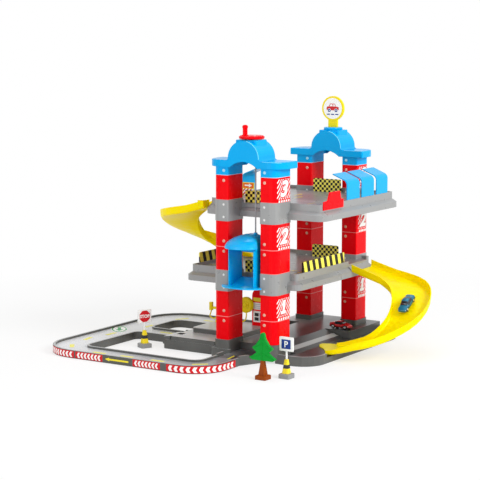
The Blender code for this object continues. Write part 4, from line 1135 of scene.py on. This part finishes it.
# %% Car materials
def enamel(name, colour):
    """Sprayed enamel: fine metal flakes under a clear coat."""
    made, tree = new_material(name)
    where = add_node(tree, "TexCoord").outputs["Object"]
    flakes = add_node(tree, "TexVoronoi", Vector=where, Scale=every_mm(0.35))
    base = linear(colour)
    bright = tuple(min(1.0, c * 1.25 + 0.01) for c in base[:3]) + (1.0,)
    tone = add_node(tree, "Mix", data_type="RGBA", i0=flakes.outputs["Distance"], i6=base,
                    i7=bright)
    rounded = add_node(tree, "Bevel", samples=4, Radius=0.7 * MM)
    shader = add_node(tree, "BsdfPrincipled", Base_Color=tone.outputs[2], Metallic=0.15,
                      Roughness=0.34, Coat_Weight=0.2, Coat_Roughness=0.05,
                      Normal=rounded.outputs[0])
    add_node(tree, "OutputMaterial", Surface=shader.outputs[0])
    return made


def simple_finish(name, colour, roughness, metallic=0.0, coat=0.0):
    """A small part's finish: one colour with a 0.8 mm grain."""
    made, tree = new_material(name)
    where = add_node(tree, "TexCoord").outputs["Object"]
    grain = add_node(tree, "TexNoise", Vector=where, Scale=every_mm(0.8), Detail=2.0)
    base = linear(colour)
    pale = tuple(min(1.0, c * 1.12 + 0.004) for c in base[:3]) + (1.0,)
    tone = add_node(tree, "Mix", data_type="RGBA", i0=grain.outputs[0], i6=base, i7=pale)
    bump = add_node(tree, "Bump", Height=grain.outputs[0], Strength=0.25, Distance=0.05 * MM)
    shader = add_node(tree, "BsdfPrincipled", Base_Color=tone.outputs[2], Metallic=metallic,
                      Roughness=roughness, Coat_Weight=coat, Normal=bump.outputs[0])
    add_node(tree, "OutputMaterial", Surface=shader.outputs[0])
    return made


red_enamel = enamel("enamel sprayed metallic red", "#B4080F")
blue_enamel = enamel("enamel sprayed metallic blue", "#046684")
glazing = simple_finish("acrylic moulded smoked glazing", "#10141A", 0.08, coat=0.6)
tyre_rubber = simple_finish("vinyl moulded tyre black", "#141414", 0.62)
hub_chrome = simple_finish("hot-foil printed hub silver", "#C9CCD0", 0.22, metallic=0.9)
lamp_clear = simple_finish("printed headlamp white", "#ECEFF2", 0.2, coat=0.5)
lamp_red = simple_finish("printed tail lamp red", "#B00A10", 0.25, coat=0.5)
sill_black = simple_finish("polypropylene moulded chassis black", "#19191A", 0.5)
print("car finishes ready")

# %% [markdown]
# A car body is drawn again with more shape than its CAD solid has: cross-sections from tail to
# nose, each a rounded arch, skinned and smooth-shaded. Cabin glass follows the same
# sections a little proud of the body, so windows, roof and pillars line up by themselves.


# %% Car bodies
CAR_SECTIONS = (
    # x, half width, floor, waist height, waist width share, roof height, roof width share
    (-31.0, 10.2, 5.2, 10.5, 0.96, 13.4, 0.80), (-29.6, 11.9, 4.4, 11.2, 0.97, 14.9, 0.80),
    (-24.0, 12.8, 4.1, 12.2, 0.98, 15.9, 0.78), (-18.0, 13.2, 4.1, 12.6, 0.98, 16.6, 0.76),
    (-12.0, 13.2, 4.1, 12.5, 0.97, 19.6, 0.70), (-6.0, 13.1, 4.1, 12.3, 0.96, 21.2, 0.66),
    (1.0, 13.1, 4.1, 12.1, 0.96, 21.2, 0.66), (7.0, 13.1, 4.1, 11.9, 0.96, 18.4, 0.69),
    (13.0, 13.2, 4.1, 11.7, 0.97, 14.6, 0.76), (20.0, 13.1, 4.1, 11.2, 0.97, 13.4, 0.80),
    (26.0, 12.2, 4.4, 9.9, 0.96, 11.8, 0.82), (29.8, 10.4, 5.0, 8.2, 0.95, 9.6, 0.84))


def section_at(x):
    """The car's section at x, read between the listed ones."""
    for a, b in zip(CAR_SECTIONS, CAR_SECTIONS[1:]):
        if a[0] <= x <= b[0]:
            t = (x - a[0]) / (b[0] - a[0])
            t = t * t * (3 - 2 * t)
            return [p + (q - p) * t for p, q in zip(a, b)]
    return list(CAR_SECTIONS[0] if x < CAR_SECTIONS[0][0] else CAR_SECTIONS[-1])


def car_point(x, around, proud=0.0):
    """A point on the car's skin: around runs 0 at the sill, 0.5 at the waist, 1 at mid roof."""
    _, half, floor, waist, waist_share, roof, roof_share = section_at(x)
    stops = ((0.0, half * 0.93, floor), (0.22, half, floor + 3.2), (0.5, half * waist_share, waist),
             (0.78, half * roof_share + 1.0, roof - 1.1), (0.86, half * roof_share * 0.86, roof),
             (1.0, 0.0, roof + 0.35))
    for (s0, y0, z0), (s1, y1, z1) in zip(stops, stops[1:]):
        if around <= s1:
            t = (around - s0) / (s1 - s0)
            return y0 + (y1 - y0) * t + proud * (1 - around), z0 + (z1 - z0) * t + proud * around
    return 0.0, roof + proud


def car_skin(x0, x1, steps, a0, a1, rows, proud):
    """A patch of the car's skin on both sides, from x0 to x1 and from a0 to a1 around."""
    bm = bmesh.new()
    for side in (1, -1):
        grid = []
        for i in range(steps + 1):
            x = x0 + (x1 - x0) * i / steps
            line = []
            for j in range(rows + 1):
                y, z = car_point(x, a0 + (a1 - a0) * j / rows, proud)
                line.append(bm.verts.new((x * MM, side * y * MM, z * MM)))
            grid.append(line)
        for i in range(steps):
            for j in range(rows):
                quad = [grid[i][j], grid[i + 1][j], grid[i + 1][j + 1], grid[i][j + 1]]
                bm.faces.new(quad if side > 0 else quad[::-1])
    bmesh.ops.remove_doubles(bm, verts=bm.verts, dist=1e-6)
    for face in bm.faces:
        face.smooth = True
    return mesh_of(bm, "car_skin")


AXLES = (("rear", -19.0), ("front", 18.5))
AXLE_Z, ARCH_R, ARCH_TOP = 6.0, 7.4, 11.0


def car_body():
    """The whole painted shell: sections skinned, ends closed, wheel arches pressed in."""
    bm = bmesh.new()
    marks = [0.0, 0.1, 0.22, 0.36, 0.5, 0.57, 0.64, 0.71, 0.78, 0.86, 1.0]
    grid = []
    for x in [-31 + 60.8 * k / 38 for k in range(39)]:
        line = []
        for side in (-1, 1):
            order = marks if side < 0 else marks[:-1][::-1]
            for around in order:
                y, z = car_point(x, around)
                for _, wheel in AXLES:
                    gap = math.hypot(x - wheel, z - AXLE_Z)
                    if gap < ARCH_R and around < 0.4:
                        lifted = AXLE_Z + math.sqrt(max(0.0, ARCH_R ** 2 - (x - wheel) ** 2))
                        z = max(z, min(lifted, ARCH_TOP))
                line.append(bm.verts.new((x * MM, side * y * MM, z * MM)))
        grid.append(line)
    count = len(grid[0])
    for i in range(len(grid) - 1):
        for j in range(count):
            k = (j + 1) % count
            bm.faces.new((grid[i][j], grid[i + 1][j], grid[i + 1][k], grid[i][k]))
    bm.faces.new(grid[0])
    bm.faces.new(grid[-1][::-1])
    bmesh.ops.recalc_face_normals(bm, faces=bm.faces)
    for face in bm.faces:
        face.smooth = len(face.verts) == 4
    return mesh_of(bm, "car_body")


def placed(name, mesh, place, finish, body):
    """A mesh in the car's own axes, put where the car stands."""
    mesh.transform(place)
    return new_piece(name, mesh, body, finish)


CARS = (("red_car", (86.0, 108.0, 35.3), (0.0, 0.0, -3.0), red_enamel),
        ("blue_car", (309.2, 57.0, 124.8), (2.0, 32.0, -91.0), blue_enamel))
hub_disc = turned([(0, -0.2), (3.3, -0.2), (3.5, 0.15), (2.9, 0.35), (2.2, 0.1), (1.1, 0.15),
                   (0.9, 0.6), (0, 0.7)])
for car, location, turns, paint in CARS:
    roll, pitch, heading = (math.radians(a) for a in turns)
    place = Matrix.Translation(Vector(location) * MM)
    place = place @ Euler((roll, pitch, heading)).to_matrix().to_4x4()
    shell = placed(car + "_shell", car_body(), place, paint, car)
    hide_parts(car + "_body")
    placed(car + "_side_glass", car_skin(-13.5, 9.5, 16, 0.52, 0.77, 4, 0.25), place, glazing, car)
    placed(car + "_windscreen", car_skin(3.4, 13.2, 9, 0.79, 1.0, 6, 0.25), place, glazing, car)
    placed(car + "_rear_glass", car_skin(-18.0, -8.8, 9, 0.79, 1.0, 6, 0.25), place, glazing, car)
    for k, (x0, x1) in enumerate(((-30.9, -26.6), (-11.4, 10.9), (26.1, 29.7))):
        placed("%s_skirt_%d" % (car, k), car_skin(x0, x1, 8, 0.0, 0.15, 3, 0.3), place,
               sill_black, car)
    placed(car + "_headlamps", car_skin(26.6, 29.0, 3, 0.50, 0.74, 3, 0.2), place, lamp_clear, car)
    placed(car + "_tail_lamps", car_skin(-30.8, -29.4, 2, 0.40, 0.66, 3, 0.2), place, lamp_red,
           car)
    for axle, x in AXLES:
        dress("%s_%s_wheels" % (car, axle), tyre_rubber)
        spots = [place @ Matrix.Translation(Vector((x, side * 12.8, AXLE_Z)) * MM)
                 @ Matrix.Rotation(math.radians(-90 * side), 4, "X") for side in (-1, 1)]
        gathered("%s_%s_hubs" % (car, axle), hub_disc, spots, hub_chrome,
                 "%s_%s_axle" % (car, axle))
print("cars:", ", ".join(car for car, *_ in CARS))

# %% [markdown]
# The crank, the arches and the tree are one-piece mouldings whose shape is in the CAD. Small
# things on them are added here: the boss under the crank handle, a cap screw on its disc, the
# boss under the round sign and the tree's moulded twig lines.

# %% Small moulded details
boss = turned([(9.2, 570.9), (9.0, 571.9), (7.9, 572.5), (0, 572.6)], 28)
gathered("crank_boss", boss, [Matrix.Translation(Vector((-14.0, -216.0, 0)) * MM)], red_abs,
         "crank")
sign_boss = turned([(0, 560.4), (25.5, 560.4), (25.5, 566.4), (24.4, 567.7), (22.6, 568.2),
                    (0, 568.4)], 40)
gathered("round_sign_boss", sign_boss, [Matrix.Translation(Vector((0, 208, 0)) * MM)], blue_abs,
         "garage")
screw = turned([(0, 570.8), (3.1, 570.8), (3.1, 571.6), (2.4, 572.1), (0.9, 572.2), (0.8, 571.7),
                (0, 571.7)])
gathered("crank_screw", screw, [Matrix.Translation(Vector((6.0, -203.0, 0)) * MM)], peg_grey,
         "crank")
twigs = []
for side in (-4.25, 4.25):
    for tip_z, root_z, reach in ((51.6, 63, 31), (76.2, 88, 23), (97.5, 105, 6)):
        for direction in (-1, 1):
            line = [(155 + direction * reach * t, -400 + side, root_z + (tip_z - root_z) * t)
                    for t in (0.0, 0.25, 0.5, 0.75, 1.0)]
            twigs.append(line)
for k, line in enumerate(twigs):
    tube_piece("tree_twig_%02d" % k, line, 0.7, leaf_green, "tree")
stem = [(155, -404.2, z) for z in (47, 68, 90, 110)]
tube_piece("tree_stem_front", stem, 0.9, leaf_green, "tree")
tube_piece("tree_stem_back", [(x, y + 8.4, z) for x, y, z in stem], 0.9, leaf_green, "tree")
print("details: crank boss and screw,", len(twigs), "twigs")

# %% [markdown]
# Each bay canopy is one bent sheet: a wall that stands on the parapet and a roof that leans over
# the bay. On the real part the bend is wide and polished, so it carries the brightest highlight.
# The CAD solid has a few flat steps there, so a sheet with more steps and smooth shading stands
# in for it, on the same wall line.


# %% Bay canopies
BEND, SHEET = 15, 2.4


def canopy_sheet(node, x_wall, y_low, y_high, inward):
    """A bent sheet in place of a CAD canopy: wall, bend and sloping roof, drawn as (depth, z)."""
    outer = [(0.0, 403.3), (0.0, 415.0), (0.0, 430.0)]
    for k in range(11):
        a = math.radians(6.8 * k)
        outer.append((BEND - BEND * math.cos(a), 441 + BEND * math.sin(a)))
    start, stop = outer[-1], (43.0, 468.3)
    for k in range(1, 5):
        t = k / 4
        outer.append((start[0] + (stop[0] - start[0]) * t, start[1] + (stop[1] - start[1]) * t))
    inner = []
    for k, (d, z) in enumerate(outer):
        before, after = outer[max(k - 1, 0)], outer[min(k + 1, len(outer) - 1)]
        along = Vector((after[0] - before[0], after[1] - before[1])).normalized()
        inner.append((d + SHEET * along[1], z - SHEET * along[0]))
    bm = bmesh.new()
    loops = []
    for y in (y_low, (y_low + y_high) / 2, y_high):
        loops.append([bm.verts.new(((x_wall - inward * d) * MM, y * MM, z * MM))
                      for d, z in outer + inner[::-1]])
    for low, high in zip(loops, loops[1:]):
        for k in range(len(low)):
            j = (k + 1) % len(low)
            face = bm.faces.new((low[k], low[j], high[j], high[k]))
            face.smooth = k not in (len(outer) - 1, len(low) - 1)
    count = len(outer)
    for loop in (loops[0], loops[-1]):
        for k in range(count - 1):
            bm.faces.new((loop[k], loop[k + 1], loop[-2 - k], loop[-1 - k]))
    bmesh.ops.recalc_face_normals(bm, faces=bm.faces)
    bm.edges.ensure_lookup_table()
    for edge in bm.edges:
        if edge.calc_face_angle(0.0) > math.radians(40):
            edge.smooth = False
    piece = new_piece(node + "_sheet", mesh_of(bm, node + "_sheet"), "garage", canopy_blue)
    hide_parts(node)


for node, x_wall, y_low, y_high, inward in (
        ("bay_canopy_front", 186.5, -46, 20, 1), ("bay_canopy_middle", 186.5, 32, 98, 1),
        ("bay_canopy_rear", 186.5, 112, 174, 1), ("bay_canopy_left", -143.5, -30, 34, -1)):
    canopy_sheet(node, x_wall, y_low, y_high, inward)
print("four canopies with a", BEND, "mm bend")

# %% [markdown]
# The arches carry thin pale blue tubes along their front edges: a painted highlight of the light
# that the real edges catch. The outer wall of the upper slide turns in where it meets the deck, to
# guide the wheels. At its foot the lower slide ends in a thin plate that lies on the base. These
# are short tubes, one bent wall and one flat card here; the wall and the plate are small forms on
# the real mouldings.

# %% Arch edges and slide guide
def bent_wall(name, route, low_z, high_z, half, finish, body):
    """An upright wall that follows a route seen from above, half its thickness to each side."""
    bm = bmesh.new()
    walls = []
    for k, (x, y) in enumerate(route):
        before, after = route[max(k - 1, 0)], route[min(k + 1, len(route) - 1)]
        across = Vector((after[1] - before[1], before[0] - after[0])).normalized() * half
        walls.append([bm.verts.new(((x + s * across[0]) * MM, (y + s * across[1]) * MM, z * MM))
                      for s, z in ((-1, low_z), (1, low_z), (1, high_z), (-1, high_z))])
    for low, high in zip(walls, walls[1:]):
        for k in range(4):
            j = (k + 1) % 4
            bm.faces.new((low[k], low[j], high[j], high[k]))
    bm.faces.new(walls[0])
    bm.faces.new(walls[-1][::-1])
    bmesh.ops.recalc_face_normals(bm, faces=bm.faces)
    return new_piece(name, mesh_of(bm, name), body, finish)


# Thin pale tubes along each arch's front edge: a painted highlight.
for which, y in (("front", -247.7), ("rear", 168.3)):
    crown = [(45.4 * math.cos(math.radians(a)), y, 514.5 + 45.4 * math.sin(math.radians(a)))
             for a in range(0, 82, 6)]
    tube_piece("%s_arch_edge_highlight_crown" % which, crown, 0.7, arch_highlight_blue, "garage")
    tube_piece("%s_arch_edge_highlight_slab" % which, [(x, y, 509.2) for x in (56, 75, 94, 112)], 0.55,
               arch_highlight_blue, "garage")
guide = [(-174.0, -193.6), (-165.0, -192.6), (-160.5, -189.0), (-158.4, -183.0), (-157.9, -165.0)]
bent_wall("upper_ramp_guide", guide, 374.5, 395.4, 1.1, slide_yellow, "garage")
runout = [(142.3, -9.0), (118.2, -8.9), (95.0, -23.8), (114.7, -57.9), (136.4, -74.7),
          (178.0, -129.5), (184.0, -129.5), (184.0, -36.0), (165.0, -12.0)]
solid_outline("lower_ramp_runout", runout, on_plane((0, 0, 15.1), (1, 0, 0), (0, 1, 0)), 0.0, 2.3,
              slide_yellow, "garage")
print("arch edges, slide guide and the run-out plate at the foot of the lower slide done")

# %% [markdown]
# A plain studio: a very large pale floor, a soft lamp from the right, weaker ones from the front
# and from above, and an even sky. Reflections see the same white room as the camera, which gives
# the grey roads their pale sheen. The floor shows its own white to the camera, keeps the toy's
# shadow near the toy and fades to plain white farther out.


# %% Floor, sky and lamps
def straight_rays(tree):
    """1 for rays that look at the room, straight or by a reflection, and 0 for its light."""
    eye = add_node(tree, "LightPath")
    seen = add_node(tree, "Math", operation="MAXIMUM", i0=eye.outputs["Is Camera Ray"],
                    i1=eye.outputs["Is Glossy Ray"])
    return add_node(tree, "Math", operation="MAXIMUM", i0=seen.outputs[0],
                    i1=eye.outputs["Is Transmission Ray"]).outputs[0]


floor_mesh = bpy.data.meshes.new("studio_floor")
floor_mesh.from_pydata([(-14, -14, 0), (14, -14, 0), (14, 14, 0), (-14, 14, 0)], [],
                       [(0, 1, 2, 3)])
floor = bpy.data.objects.new("studio_floor", floor_mesh)
floor.location.z = -0.0004
bpy.context.scene.collection.objects.link(floor)
floor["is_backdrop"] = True
floor_paint, tree = new_material("paper seamless studio white")
soft = add_node(tree, "BsdfDiffuse", Color=linear("#F4F4F4"))
shine = add_node(tree, "Emission", Color=(1.0, 1.0, 1.0, 1.0), Strength=1.0)
spot = add_node(tree, "TexCoord").outputs["Object"]
away = add_node(tree, "VectorMath", operation="LENGTH", i0=spot)
fade = add_node(tree, "MapRange", Value=away.outputs["Value"], From_Min=0.7, From_Max=1.5,
                To_Min=0.62, To_Max=1.0)
share = add_node(tree, "Math", operation="MULTIPLY", i0=straight_rays(tree), i1=fade.outputs[0])
mixed = add_node(tree, "MixShader", i0=share.outputs[0], i1=soft.outputs[0], i2=shine.outputs[0])
add_node(tree, "OutputMaterial", Surface=mixed.outputs[0])
floor_mesh.materials.append(floor_paint)

world = bpy.data.worlds.new("studio_sky")
bpy.context.scene.world = world
world.use_nodes = True
tree = world.node_tree
tree.nodes.clear()
level = add_node(tree, "MapRange", Value=straight_rays(tree), To_Min=0.68, To_Max=1.0)
sky = add_node(tree, "Background", Color=(1.0, 1.0, 1.0, 1.0), Strength=level.outputs[0])
add_node(tree, "OutputWorld", Surface=sky.outputs[0])


def lamp(name, place, aim, width, watts):
    data = bpy.data.lights.new(name, "AREA")
    data.shape = "DISK"
    data.size = width
    data.energy = watts
    made = bpy.data.objects.new(name, data)
    made.location = place
    made.rotation_euler = (Vector(aim) - Vector(place)).to_track_quat("-Z", "Y").to_euler()
    bpy.context.scene.collection.objects.link(made)


lamp("soft_key_right", (3.0, -0.5, 1.9), (0, 0, 0.25), 1.5, 78)
lamp("soft_fill_front", (-1.0, -3.4, 0.9), (0, 0, 0.25), 2.2, 24)
lamp("soft_top", (-0.6, 0.8, 3.4), (0, 0, 0.2), 2.2, 20)
bpy.context.scene.view_settings.view_transform = "Standard"
print("studio: three soft lamps and a white room")

# %% Measure the growth
low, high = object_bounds()
print("grown by, in mm:", [round((a - b) / MM, 1) for a, b in zip(cad_low, low)],
      [round((b - a) / MM, 1) for a, b in zip(cad_high, high)])
